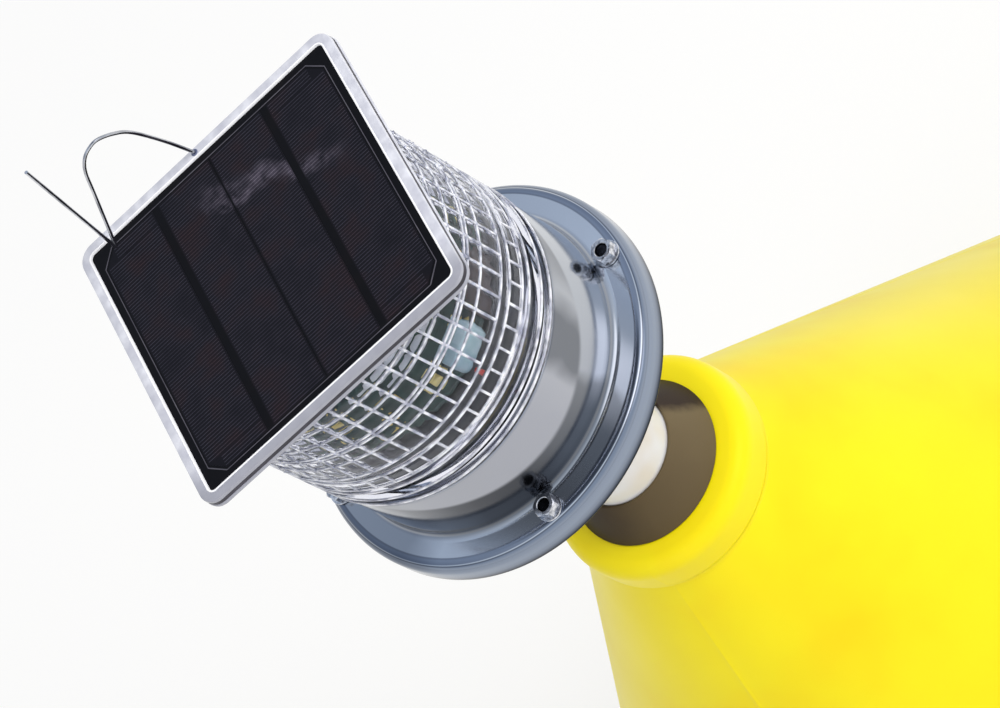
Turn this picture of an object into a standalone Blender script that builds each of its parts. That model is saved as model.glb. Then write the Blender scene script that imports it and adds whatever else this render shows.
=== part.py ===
"""Navigation buoy: a yellow double-cone float with a solar lantern on a short plastic mast.

Units are metres and +Z is up. The origin lies on the buoy's axis at its waterline.
Run with: blender --background --python part.py
"""

import math

import bmesh
import bpy
from mathutils import Matrix, Vector

# Clearances and overruns
SEAT_GAP = 0.0003
PIN_GAP = 0.0004
OVERRUN = 0.004
WELD = 0.00001

# Roundness: sides of a full turn, and steps in a fillet
HULL_SIDES = 48
ROUND_SIDES = 32
SMALL_SIDES = 20
BOLT_SIDES = 12
LAMP_SIDES = 6
HEX_SIDES = 6
BIG_FILLET = 0.007
BIG_FILLET_STEPS = 4
SMALL_FILLET_STEPS = 2
SHARP_DEGREES = 35

# Hull, one rotationally moulded float
HULL_RADIUS = 0.300
BELT_ABOVE_WATER = 0.040
BELT_BELOW_WATER = 0.040
BELT_FILLET = 0.028
UPPER_CONE_HEIGHT = 0.450
LOWER_CONE_HEIGHT = 0.300
HULL_FOOT_RADIUS = 0.072
HULL_FOOT_FILLET = 0.012

# Neck of the hull, with its rolled collar
NECK_RADIUS = 0.0505
COLLAR_PROUD = 0.0020
COLLAR_HEIGHT = 0.0225
COLLAR_FILLET = 0.009
COLLAR_STEP = 0.003

# Rubber plug that seals the mast in the neck
PLUG_RADIUS = 0.0385
PLUG_BRIM = 0.0025
PLUG_STEM_DEPTH = 0.030
PLUG_CONE_HEIGHT = 0.0200
PLUG_TOP_WALL = 0.0012

# Mast pipe and the flange glued on its top
MAST_RADIUS = 0.0255
MAST_WALL = 0.0035
MAST_IN_HULL = 0.110
MAST_ABOVE_COLLAR = 0.1210
MAST_FLANGE_GAP = 0.0015
MAST_FLANGE_THICKNESS = 0.0080
MAST_HUB_WALL = 0.0075
MAST_HUB_HEIGHT = 0.0220
HUB_FILLET = 0.004

# Lantern base, a spun steel pan shaped like a top hat
PAN_SHEET = 0.0015
PAN_WALL_STEP = 0.0015
PAN_WALL_HEIGHT = 0.0440
PAN_FOOT_FILLET = 0.0020
PAN_BRIM_WIDTH = 0.0160
PAN_SKIRT_HEIGHT = 0.0140
PAN_LIP_FILLET = 0.0058
PAN_SEAT_WIDTH = 0.0080
PAN_TOP_FILLET = 0.0020

# Four bolts that hold the pan on the mast flange
BOLT_COUNT = 4
BOLT_FROM_WALL = 0.0080
BOLT_RADIUS = 0.0030
BOLT_TIP = 0.0012
NUT_FLATS = 0.0095
NUT_HEIGHT = 0.0052
BOLT_HEAD_HEIGHT = 0.0040

# Lens, a clear moulded drum with upright and level prisms
LENS_RADIUS = 0.0720
LENS_WALL = 0.0040
LENS_HEIGHT = 0.0950
LENS_FLUTES = 48
FLUTE_DEPTH = 0.0012
PRISM_GROOVE = 0.0014
GROOVE_WIDTH = 0.0018
SKIRT_RIB = 0.0012

# Heights in the lens where its wall changes, as shares of its height from the top
PRISM_GROOVE_SHARES = (0.096, 0.199, 0.321, 0.429)
WINDOW_BOTTOM_SHARE = 0.597
FLUTE_BOTTOM_SHARE = 0.747
SKIRT_RIB_SHARES = (0.794, 0.878, 0.953)

# What shows through the lens
DRUM_GAP = 0.0054
DRUM_RISE = 0.0300
DRUM_FILLET = 0.0040
BOARD_INSET = 0.0030
BOARD_THICKNESS = 0.0016
LAMP_COUNT = 12
LAMP_INSET = 0.0090
LAMP_RADIUS = 0.0030
LAMP_HEIGHT = 0.0035
CORE_FOOT_RADIUS = 0.0300
CORE_HEAD_GAP = 0.0094
CORE_WAIST_RADIUS = 0.0260
CORE_WAIST_SHARE = 0.450
CORE_HEAD_SHARE = 0.900
BATTERY_GAP = 0.0170

# Solar panel on top of the lens
PANEL_OVERHANG = 0.0005
PANEL_HEIGHT = 0.0060
PANEL_CORNER = 0.0080
PANEL_EDGE = 0.0010
RIM_WIDTH = 0.0055
GLASS_CORNER = 0.0015
GLASS_THICKNESS = 0.0036
GLASS_RECESS = 0.0006

# Wire that keeps birds off: its foot, the bends of its hoop and its free tip
WIRE_RADIUS = 0.0008
WIRE_HOLE_DEPTH = 0.0030
WIRE_FOOT_SHARES = (-0.481, -0.026)
WIRE_BEND_SHARES = (-0.409, -0.369)
WIRE_REST_HEIGHT = 0.0012
WIRE_HEIGHT = 0.0490
WIRE_TIP_SHARES = (0.787, 1.41)

# Tail: a galvanised rod with two iron weights
TAIL_PLATE_RADIUS = 0.0850
TAIL_PLATE_THICKNESS = 0.0080
TAIL_PLATE_FILLET = 0.0020
TAIL_ROD_RADIUS = 0.0180
TAIL_SLEEVE_WALL = 0.0100
TAIL_SLEEVE_LENGTH = 0.0600
WEIGHT_RADIUS = 0.0900
WEIGHT_THICKNESS = 0.0350
WEIGHT_FILLET = 0.0060
TAIL_NUT_FLATS = 0.0550
TAIL_NUT_HEIGHT = 0.0220
NUT_RECESS_DEPTH = 0.0080
NUT_RECESS_GAP = 0.0030

# Swivel under the tail
BARREL_WALL = 0.0077
BARREL_HEIGHT = 0.0480
BARREL_FILLET = 0.0040
BARREL_FLOOR = 0.0120
ROD_IN_BARREL = 0.0140
BUTTON_STEP = 0.0010
BUTTON_HEIGHT = 0.0080
STEM_RADIUS = 0.0110
STEM_TO_PIN = 0.0400
EYE_RADIUS = 0.0240
EYE_THICKNESS = 0.0180
EYE_EDGE = 0.0030

# Mooring shackle
SHACKLE_PIN_RADIUS = 0.0100
SHACKLE_SIDE_PLAY = 0.0060
SHACKLE_BAR_RADIUS = 0.0095
SHACKLE_EAR_WALL = 0.0090
SHACKLE_EAR_PROUD = 0.0010
SHACKLE_LENGTH = 0.0780
BOW_STEPS = 12
PIN_HEAD_FLATS = 0.0300
PIN_HEAD_HEIGHT = 0.0080
PIN_NUT_HEIGHT = 0.0120
PIN_END = 0.0050

# Radii and widths that follow the sizes above
COLLAR_RADIUS = NECK_RADIUS + COLLAR_PROUD
PLUG_STEM_RADIUS = PLUG_RADIUS - PLUG_BRIM
PAN_WALL_RADIUS = LENS_RADIUS - PAN_WALL_STEP
PAN_LIP_RADIUS = PAN_WALL_RADIUS + PAN_BRIM_WIDTH
BOLT_CIRCLE_RADIUS = PAN_WALL_RADIUS + BOLT_FROM_WALL
MAST_FLANGE_RADIUS = PAN_LIP_RADIUS - PAN_SHEET - MAST_FLANGE_GAP
MAST_HUB_RADIUS = MAST_RADIUS + MAST_HUB_WALL
LENS_ROOT_RADIUS = LENS_RADIUS - FLUTE_DEPTH
LENS_BORE_RADIUS = LENS_ROOT_RADIUS - PRISM_GROOVE - LENS_WALL
DRUM_RADIUS = LENS_BORE_RADIUS - DRUM_GAP
BOARD_RADIUS = DRUM_RADIUS - BOARD_INSET
LAMP_CIRCLE_RADIUS = BOARD_RADIUS - LAMP_INSET
CORE_HEAD_RADIUS = LENS_BORE_RADIUS - CORE_HEAD_GAP
PANEL_SIDE = 2 * (LENS_RADIUS + PANEL_OVERHANG)
GLASS_SIDE = PANEL_SIDE - 2 * RIM_WIDTH
BATTERY_RADIUS = PAN_WALL_RADIUS - PAN_SHEET - BATTERY_GAP
TAIL_BORE_RADIUS = TAIL_ROD_RADIUS + SEAT_GAP
TAIL_SLEEVE_RADIUS = TAIL_BORE_RADIUS + TAIL_SLEEVE_WALL
NUT_RECESS_RADIUS = TAIL_NUT_FLATS / math.sqrt(3) + NUT_RECESS_GAP
BARREL_RADIUS = TAIL_BORE_RADIUS + BARREL_WALL
BUTTON_RADIUS = TAIL_ROD_RADIUS - BUTTON_STEP
SHACKLE_GAP = EYE_THICKNESS + 2 * SHACKLE_SIDE_PLAY
SHACKLE_HOLE_RADIUS = SHACKLE_PIN_RADIUS + PIN_GAP
SHACKLE_EAR_RADIUS = SHACKLE_HOLE_RADIUS + SHACKLE_EAR_WALL
SHACKLE_EAR_WIDTH = 2 * (SHACKLE_BAR_RADIUS + SHACKLE_EAR_PROUD)

# Heights above the waterline that follow the sizes above
NECK_Z = BELT_ABOVE_WATER + UPPER_CONE_HEIGHT
COLLAR_TOP_Z = NECK_Z + COLLAR_HEIGHT
MAST_TOP_Z = COLLAR_TOP_Z + MAST_ABOVE_COLLAR
MAST_BOTTOM_Z = COLLAR_TOP_Z - MAST_IN_HULL
FLANGE_BOTTOM_Z = MAST_TOP_Z + SEAT_GAP
FLANGE_TOP_Z = FLANGE_BOTTOM_Z + MAST_FLANGE_THICKNESS
PAN_FACE_Z = FLANGE_TOP_Z + SEAT_GAP + PAN_SHEET
PAN_TOP_Z = PAN_FACE_Z + PAN_WALL_HEIGHT
LENS_BOTTOM_Z = PAN_TOP_Z + SEAT_GAP
LENS_TOP_Z = LENS_BOTTOM_Z + LENS_HEIGHT
PANEL_BOTTOM_Z = LENS_TOP_Z + SEAT_GAP
PANEL_TOP_Z = PANEL_BOTTOM_Z + PANEL_HEIGHT
GLASS_TOP_Z = PANEL_TOP_Z - GLASS_RECESS
DRUM_BOTTOM_Z = PAN_TOP_Z + SEAT_GAP
DRUM_TOP_Z = DRUM_BOTTOM_Z + DRUM_RISE
BOARD_TOP_Z = DRUM_TOP_Z + SEAT_GAP + BOARD_THICKNESS
HULL_FOOT_Z = -BELT_BELOW_WATER - LOWER_CONE_HEIGHT
TAIL_PLATE_Z = HULL_FOOT_Z - SEAT_GAP - TAIL_PLATE_THICKNESS
SLEEVE_BOTTOM_Z = TAIL_PLATE_Z - SEAT_GAP - TAIL_SLEEVE_LENGTH
UPPER_WEIGHT_Z = SLEEVE_BOTTOM_Z - SEAT_GAP - WEIGHT_THICKNESS
LOWER_WEIGHT_Z = UPPER_WEIGHT_Z - SEAT_GAP - WEIGHT_THICKNESS
TAIL_NUT_Z = LOWER_WEIGHT_Z + NUT_RECESS_DEPTH - SEAT_GAP - TAIL_NUT_HEIGHT
BARREL_TOP_Z = TAIL_NUT_Z - SEAT_GAP
BARREL_BOTTOM_Z = BARREL_TOP_Z - BARREL_HEIGHT
ROD_BOTTOM_Z = BARREL_TOP_Z - ROD_IN_BARREL
BUTTON_BOTTOM_Z = BARREL_BOTTOM_Z + BARREL_FLOOR + SEAT_GAP
SHACKLE_PIN_Z = BARREL_BOTTOM_Z - STEM_TO_PIN

# Finishes: colour, roughness and metallic value
FINISHES = {
    "yellow_polyethylene": ((0.95, 0.68, 0.02, 1.0), 0.35, 0.0),
    "white_pipe": ((0.86, 0.87, 0.86, 1.0), 0.25, 0.0),
    "dark_rubber": ((0.05, 0.04, 0.035, 1.0), 0.45, 0.0),
    "polished_steel": ((0.74, 0.76, 0.78, 1.0), 0.06, 1.0),
    "clear_lens": ((0.90, 0.94, 0.95, 1.0), 0.05, 0.0),
    "panel_rim": ((0.78, 0.80, 0.82, 1.0), 0.18, 0.0),
    "solar_glass": ((0.02, 0.022, 0.035, 1.0), 0.08, 0.0),
    "dark_plastic": ((0.06, 0.07, 0.075, 1.0), 0.40, 0.0),
    "white_plastic": ((0.80, 0.82, 0.82, 1.0), 0.30, 0.0),
    "circuit_board": ((0.04, 0.20, 0.18, 1.0), 0.35, 0.0),
    "galvanised": ((0.55, 0.57, 0.58, 1.0), 0.45, 1.0),
    "cast_iron": ((0.10, 0.10, 0.11, 1.0), 0.60, 0.6),
}


def clear_scene():
    for obj in list(bpy.data.objects):
        bpy.data.objects.remove(obj, do_unlink=True)


def new_collection(name):
    collection = bpy.data.collections.new(name)
    bpy.context.scene.collection.children.link(collection)
    return collection


def make_materials():
    for name, (colour, roughness, metallic) in FINISHES.items():
        material = bpy.data.materials.new(name)
        material.use_nodes = True
        shader = material.node_tree.nodes["Principled BSDF"]
        shader.inputs["Base Color"].default_value = colour
        shader.inputs["Roughness"].default_value = roughness
        shader.inputs["Metallic"].default_value = metallic


def add_object(name, data, finish=None):
    """Puts the data in the buoy's collection, or with no finish in the cutters' collection."""
    obj = bpy.data.objects.new(name, data)
    if finish:
        obj.data.materials.append(bpy.data.materials[finish])
        buoy.objects.link(obj)
    else:
        obj.hide_render = True
        obj.display_type = "WIRE"
        cutters.objects.link(obj)
    return obj


def object_from_bmesh(name, shape, finish=None):
    bmesh.ops.recalc_face_normals(shape, faces=shape.faces)
    mesh = bpy.data.meshes.new(name)
    shape.to_mesh(mesh)
    shape.free()
    mesh.shade_smooth()
    mesh.set_sharp_from_angle(angle=math.radians(SHARP_DEGREES))
    return add_object(name, mesh, finish)


def filleted(corners, closed=False):
    """Points of an outline whose corners are (radius, height, fillet)."""
    points = []
    count = len(corners)
    for index, (radius, height, fillet) in enumerate(corners):
        corner = Vector((radius, height))
        if not fillet:
            points.append(corner)
            continue
        if not closed and index in (0, count - 1):
            raise ValueError("an open outline has no fillet at its ends")
        before = Vector(corners[index - 1][:2]) - corner
        after = Vector(corners[(index + 1) % count][:2]) - corner
        half = before.angle(after) / 2
        reach = min(fillet / math.tan(half), before.length / 2, after.length / 2)
        fillet_radius = reach * math.tan(half)
        middle = (before.normalized() + after.normalized()).normalized()
        centre = corner + middle * (fillet_radius / math.sin(half))
        start = corner + before.normalized() * reach - centre
        end = corner + after.normalized() * reach - centre
        steps = BIG_FILLET_STEPS if fillet >= BIG_FILLET else SMALL_FILLET_STEPS
        for step in range(steps + 1):
            direction = start.normalized().slerp(end.normalized(), step / steps)
            points.append(centre + direction * fillet_radius)
    return points


def turned(name, corners, finish=None, sides=ROUND_SIDES, closed=False):
    """A piece turned about the buoy's axis. Its outline runs down the outer side."""
    shape = bmesh.new()
    verts = [shape.verts.new((point.x, 0, point.y)) for point in filleted(corners, closed)]
    for first, second in zip(verts, verts[1:]):
        shape.edges.new((first, second))
    if closed:
        shape.edges.new((verts[-1], verts[0]))
    mesh = bpy.data.meshes.new(name)
    shape.to_mesh(mesh)
    shape.free()
    obj = add_object(name, mesh, finish)
    screw = obj.modifiers.new("turned", "SCREW")
    screw.steps = sides
    screw.render_steps = sides
    screw.use_merge_vertices = True
    screw.merge_threshold = WELD
    screw.use_smooth_shade = True
    return obj


def cylinder(name, radius, bottom, top, place, finish=None, sides=SMALL_SIDES, turn=0):
    """An upright cylinder or prism from bottom to top, with its axis at place (x, y)."""
    shape = bmesh.new()
    middle = Vector((place[0], place[1], (bottom + top) / 2))
    matrix = Matrix.Translation(middle) @ Matrix.Rotation(turn, 4, "Z")
    bmesh.ops.create_cone(
        shape,
        cap_ends=True,
        segments=sides,
        radius1=radius,
        radius2=radius,
        depth=top - bottom,
        matrix=matrix,
    )
    return object_from_bmesh(name, shape, finish)


def cross_cylinder(name, radius, start, end, height, finish=None, sides=SMALL_SIDES, turn=0):
    """A cylinder or prism along Y from start to end, at this height on the buoy's axis."""
    shape = bmesh.new()
    lay = Matrix.Rotation(math.radians(90), 4, "X")
    middle = Matrix.Translation((0, (start + end) / 2, height))
    matrix = middle @ lay @ Matrix.Rotation(turn, 4, "Z")
    bmesh.ops.create_cone(
        shape,
        cap_ends=True,
        segments=sides,
        radius1=radius,
        radius2=radius,
        depth=end - start,
        matrix=matrix,
    )
    return object_from_bmesh(name, shape, finish)


def hex_radius(flats):
    return flats / math.sqrt(3)


def boolean(obj, other, operation):
    modifier = obj.modifiers.new(operation.lower(), "BOOLEAN")
    modifier.operation = operation
    modifier.object = other
    return modifier


def rounded_box(name, side, bottom, top, corner, edge, finish=None):
    """A square block about the axis with rounded upright corners and small edges all round."""
    shape = bmesh.new()
    size = Matrix.Diagonal((side, side, top - bottom, 1))
    bmesh.ops.create_cube(shape, size=1, matrix=Matrix.Translation((0, 0, (bottom + top) / 2)) @ size)
    steps = BIG_FILLET_STEPS
    upright = [e for e in shape.edges if abs(e.verts[0].co.z - e.verts[1].co.z) > WELD]
    bmesh.ops.bevel(shape, geom=upright, offset=corner, segments=steps, affect="EDGES", profile=0.5)
    if edge:
        flat = [e for e in shape.edges if abs(e.verts[0].co.z - e.verts[1].co.z) < WELD]
        bmesh.ops.bevel(shape, geom=flat, offset=edge, segments=1, profile=0.5, affect="EDGES")
    return object_from_bmesh(name, shape, finish)


def bolt_places():
    """The number, place and turn of each bolt, with a flat of its nut towards the axis."""
    for index in range(BOLT_COUNT):
        angle = 2 * math.pi * index / BOLT_COUNT
        place = (BOLT_CIRCLE_RADIUS * math.cos(angle), BOLT_CIRCLE_RADIUS * math.sin(angle))
        yield index + 1, place, angle + math.pi / 6


def make_hull():
    bore = PLUG_STEM_RADIUS + SEAT_GAP
    mast_bore = MAST_RADIUS + SEAT_GAP
    plug_floor = COLLAR_TOP_Z - PLUG_STEM_DEPTH - SEAT_GAP
    outline = [
        (0, MAST_BOTTOM_Z - SEAT_GAP, 0),
        (mast_bore, MAST_BOTTOM_Z - SEAT_GAP, 0),
        (mast_bore, plug_floor, 0),
        (bore, plug_floor, 0),
        (bore, COLLAR_TOP_Z, 0),
        (COLLAR_RADIUS, COLLAR_TOP_Z, COLLAR_FILLET),
        (COLLAR_RADIUS, NECK_Z + COLLAR_STEP, COLLAR_STEP),
        (NECK_RADIUS, NECK_Z, 0),
        (HULL_RADIUS, BELT_ABOVE_WATER, BELT_FILLET),
        (HULL_RADIUS, -BELT_BELOW_WATER, BELT_FILLET),
        (HULL_FOOT_RADIUS, HULL_FOOT_Z, HULL_FOOT_FILLET),
        (0, HULL_FOOT_Z, 0),
    ]
    return turned("hull", outline, "yellow_polyethylene", HULL_SIDES)


def make_mast():
    inner = MAST_RADIUS - MAST_WALL
    pipe = [
        (MAST_RADIUS, MAST_TOP_Z, 0),
        (MAST_RADIUS, MAST_BOTTOM_Z, 0),
        (inner, MAST_BOTTOM_Z, 0),
        (inner, MAST_TOP_Z, 0),
    ]
    turned("mast_pipe", pipe, "white_pipe", ROUND_SIDES, closed=True)
    hub_bore = MAST_RADIUS + SEAT_GAP
    flange = [
        (0, FLANGE_TOP_Z, 0),
        (MAST_FLANGE_RADIUS, FLANGE_TOP_Z, PAN_LIP_FILLET),
        (MAST_FLANGE_RADIUS, FLANGE_BOTTOM_Z, 0),
        (MAST_HUB_RADIUS, FLANGE_BOTTOM_Z, HUB_FILLET),
        (MAST_HUB_RADIUS, FLANGE_BOTTOM_Z - MAST_HUB_HEIGHT, 0),
        (hub_bore, FLANGE_BOTTOM_Z - MAST_HUB_HEIGHT, 0),
        (hub_bore, FLANGE_BOTTOM_Z, 0),
        (0, FLANGE_BOTTOM_Z, 0),
    ]
    return turned("mast_flange", flange, "white_pipe", ROUND_SIDES)


def make_plug():
    hole = MAST_RADIUS + SEAT_GAP
    seat = COLLAR_TOP_Z + SEAT_GAP
    stem_bottom = COLLAR_TOP_Z - PLUG_STEM_DEPTH
    outline = [
        (hole + PLUG_TOP_WALL, seat + PLUG_CONE_HEIGHT, 0),
        (PLUG_RADIUS, seat, 0),
        (PLUG_STEM_RADIUS, seat, 0),
        (PLUG_STEM_RADIUS, stem_bottom, 0),
        (hole, stem_bottom, 0),
        (hole, seat + PLUG_CONE_HEIGHT, 0),
    ]
    turned("neck_plug", outline, "dark_rubber", ROUND_SIDES, closed=True)


def make_pan(bolt_cutters):
    inner_wall = PAN_WALL_RADIUS - PAN_SHEET
    inner_lip = PAN_LIP_RADIUS - PAN_SHEET
    under = PAN_FACE_Z - PAN_SHEET
    skirt_bottom = PAN_FACE_Z - PAN_SKIRT_HEIGHT
    outline = [
        (PAN_WALL_RADIUS - PAN_SEAT_WIDTH, PAN_TOP_Z, 0),
        (PAN_WALL_RADIUS, PAN_TOP_Z, PAN_TOP_FILLET),
        (PAN_WALL_RADIUS, PAN_FACE_Z, PAN_FOOT_FILLET),
        (PAN_LIP_RADIUS, PAN_FACE_Z, PAN_LIP_FILLET),
        (PAN_LIP_RADIUS, skirt_bottom, 0),
        (inner_lip, skirt_bottom, 0),
        (inner_lip, under, PAN_LIP_FILLET - PAN_SHEET),
        (inner_wall, under, 0),
        (inner_wall, PAN_TOP_Z - PAN_SHEET, 0),
        (PAN_WALL_RADIUS - PAN_SEAT_WIDTH, PAN_TOP_Z - PAN_SHEET, 0),
    ]
    pan = turned("lantern_pan", outline, "polished_steel", ROUND_SIDES, closed=True)
    for cutter in bolt_cutters:
        boolean(pan, cutter, "DIFFERENCE")


def make_bolts():
    """The four bolts, each with its nut, as one piece."""
    cutters_made = []
    head_top = FLANGE_BOTTOM_Z - SEAT_GAP
    nut_bottom = PAN_FACE_Z + SEAT_GAP
    nut_top = nut_bottom + NUT_HEIGHT
    head_bottom = head_top - BOLT_HEAD_HEIGHT
    corner = hex_radius(NUT_FLATS)
    shank_bottom, shank_top = head_top - BOLT_TIP, nut_top + BOLT_TIP
    hole_bottom, hole_top = head_top - OVERRUN, nut_top + OVERRUN
    hole_radius = BOLT_RADIUS + PIN_GAP
    for number, place, turn in bolt_places():
        name = f"base_bolt_{number}"
        bolt = cylinder(name, BOLT_RADIUS, shank_bottom, shank_top, place, "polished_steel", BOLT_SIDES)
        nut = cylinder(f"nut_form_{number}", corner, nut_bottom, nut_top, place, None, HEX_SIDES, turn)
        head = cylinder(f"head_form_{number}", corner, head_bottom, head_top, place, None, HEX_SIDES, turn)
        boolean(bolt, nut, "UNION")
        boolean(bolt, head, "UNION")
        hole = cylinder(f"bolt_hole_{number}", hole_radius, hole_bottom, hole_top, place, None, BOLT_SIDES)
        cutters_made.append(hole)
    return cutters_made


def lens_levels():
    """Rows of (height, crest radius, root radius) down the lens's outer wall."""
    top = LENS_TOP_Z
    root = LENS_ROOT_RADIUS
    groove = root - PRISM_GROOVE
    levels = [(top, LENS_RADIUS, root)]
    for share in (*PRISM_GROOVE_SHARES, WINDOW_BOTTOM_SHARE):
        height = top - LENS_HEIGHT * share
        levels.append((height, groove, groove))
        levels.append((height - GROOVE_WIDTH, LENS_RADIUS, root))
    flutes_end = top - LENS_HEIGHT * FLUTE_BOTTOM_SHARE
    levels.append((flutes_end, LENS_RADIUS, root))
    levels.append((flutes_end - GROOVE_WIDTH, groove, groove))
    for share in SKIRT_RIB_SHARES:
        height = top - LENS_HEIGHT * share
        levels.append((height, root + SKIRT_RIB, root + SKIRT_RIB))
        levels.append((height - GROOVE_WIDTH, root, root))
    levels.append((LENS_BOTTOM_Z, root, root))
    return levels


def ring_of_verts(shape, height, crest, root):
    verts = []
    for index in range(2 * LENS_FLUTES):
        angle = math.pi * index / LENS_FLUTES
        radius = root if index % 2 else crest
        verts.append(shape.verts.new((radius * math.cos(angle), radius * math.sin(angle), height)))
    return verts


def make_lens():
    """A loft of fluted rings down the outer wall and plain rings up the inner wall."""
    inner = LENS_BORE_RADIUS
    shape = bmesh.new()
    rings = [ring_of_verts(shape, *level) for level in lens_levels()]
    rings.append(ring_of_verts(shape, LENS_BOTTOM_Z, inner, inner))
    rings.append(ring_of_verts(shape, LENS_TOP_Z, inner, inner))
    for upper, lower in zip(rings, rings[1:] + rings[:1]):
        for index in range(len(upper)):
            following = (index + 1) % len(upper)
            shape.faces.new((upper[index], lower[index], lower[following], upper[following]))
    object_from_bmesh("lens", shape, "clear_lens")


def make_lamp_works():
    """The drum, the lamp board, the reflector core and the battery inside the lantern."""
    drum = [
        (0, DRUM_TOP_Z, 0),
        (DRUM_RADIUS, DRUM_TOP_Z, DRUM_FILLET),
        (DRUM_RADIUS, PAN_TOP_Z + SEAT_GAP, 0),
        (0, PAN_TOP_Z + SEAT_GAP, 0),
    ]
    turned("lamp_drum", drum, "dark_plastic", ROUND_SIDES)
    board_bottom = DRUM_TOP_Z + SEAT_GAP
    board = cylinder("lamp_board", BOARD_RADIUS, board_bottom, BOARD_TOP_Z, (0, 0), "circuit_board")
    lamp_bottom = BOARD_TOP_Z - BOARD_THICKNESS / 2
    lamp_top = BOARD_TOP_Z + LAMP_HEIGHT
    for index in range(LAMP_COUNT):
        angle = 2 * math.pi * (index + 1 / 2) / LAMP_COUNT
        place = (LAMP_CIRCLE_RADIUS * math.cos(angle), LAMP_CIRCLE_RADIUS * math.sin(angle))
        lamp = cylinder(f"lamp_form_{index}", LAMP_RADIUS, lamp_bottom, lamp_top, place, None, LAMP_SIDES)
        boolean(board, lamp, "UNION")
    foot = BOARD_TOP_Z + SEAT_GAP
    head = PANEL_BOTTOM_Z - SEAT_GAP
    rise = head - foot
    core = [
        (0, head, 0),
        (CORE_HEAD_RADIUS, head, 0),
        (CORE_HEAD_RADIUS, foot + rise * CORE_HEAD_SHARE, 0),
        (CORE_WAIST_RADIUS, foot + rise * CORE_WAIST_SHARE, 0),
        (CORE_FOOT_RADIUS, foot, 0),
        (0, foot, 0),
    ]
    turned("reflector_core", core, "white_plastic", ROUND_SIDES)
    cylinder("battery_block", BATTERY_RADIUS, FLANGE_TOP_Z + SEAT_GAP, PAN_TOP_Z, (0, 0), "dark_plastic")


def wire_points():
    """The wire's centre line, from its foot in the rim over the hoop to its free tip."""
    foot = Vector(WIRE_FOOT_SHARES) * PANEL_SIDE
    bend = Vector(WIRE_BEND_SHARES) * PANEL_SIDE
    # Columns: share of the way from the foot to the bend, share of the wire's height
    route_shares = [
        (0.00, 0.00),
        (0.035, 0.35),
        (0.10, 0.72),
        (0.18, 0.88),
        (0.285, 0.985),
        (0.375, 1.00),
        (0.47, 0.965),
        (0.565, 0.86),
        (0.68, 0.64),
        (0.91, 0.20),
    ]
    points = [Vector((*foot, GLASS_TOP_Z - WIRE_HOLE_DEPTH))]
    for along, up in route_shares:
        place = foot.lerp(bend, along)
        points.append(Vector((*place, GLASS_TOP_Z + WIRE_REST_HEIGHT + up * WIRE_HEIGHT)))
    points.append(Vector((*bend, GLASS_TOP_Z + WIRE_REST_HEIGHT + WIRE_RADIUS)))
    tip_along, tip_up = WIRE_TIP_SHARES
    tip = foot.lerp(bend, tip_along)
    points.append(Vector((*tip, GLASS_TOP_Z + WIRE_REST_HEIGHT + tip_up * WIRE_HEIGHT)))
    return points


def make_panel():
    sizes = (PANEL_SIDE, PANEL_BOTTOM_Z, PANEL_TOP_Z, PANEL_CORNER, PANEL_EDGE)
    frame = rounded_box("panel_frame", *sizes, "panel_rim")
    glass_bottom = GLASS_TOP_Z - GLASS_THICKNESS
    pocket = rounded_box(
        "glass_pocket",
        GLASS_SIDE + 2 * SEAT_GAP,
        glass_bottom - SEAT_GAP,
        PANEL_TOP_Z + OVERRUN,
        GLASS_CORNER,
        0,
    )
    boolean(frame, pocket, "DIFFERENCE")
    foot_x, foot_y = Vector(WIRE_FOOT_SHARES) * PANEL_SIDE
    hole = cylinder(
        "wire_hole",
        WIRE_RADIUS + SEAT_GAP,
        GLASS_TOP_Z - WIRE_HOLE_DEPTH - SEAT_GAP,
        PANEL_TOP_Z + OVERRUN,
        (foot_x, foot_y),
        None,
        12,
    )
    boolean(frame, hole, "DIFFERENCE")
    rounded_box("solar_glass", GLASS_SIDE, glass_bottom, GLASS_TOP_Z, GLASS_CORNER, 0, "solar_glass")


def tube_along(name, points, radius, finish, resolution=2):
    curve = bpy.data.curves.new(name, "CURVE")
    curve.dimensions = "3D"
    curve.bevel_depth = radius
    curve.bevel_resolution = resolution
    curve.use_fill_caps = True
    spline = curve.splines.new("POLY")
    spline.points.add(len(points) - 1)
    for target, point in zip(spline.points, points):
        target.co = (*point, 1)
    return add_object(name, curve, finish)


def mesh_from_curve(curve_object, finish=None):
    """Replaces a curve object by a welded mesh, so that it can be cut or joined."""
    graph = bpy.context.evaluated_depsgraph_get()
    mesh = bpy.data.meshes.new_from_object(curve_object.evaluated_get(graph))
    name = curve_object.name
    bpy.data.objects.remove(curve_object, do_unlink=True)
    shape = bmesh.new()
    shape.from_mesh(mesh)
    bmesh.ops.remove_doubles(shape, verts=shape.verts, dist=WELD)
    return object_from_bmesh(name, shape, finish)


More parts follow.
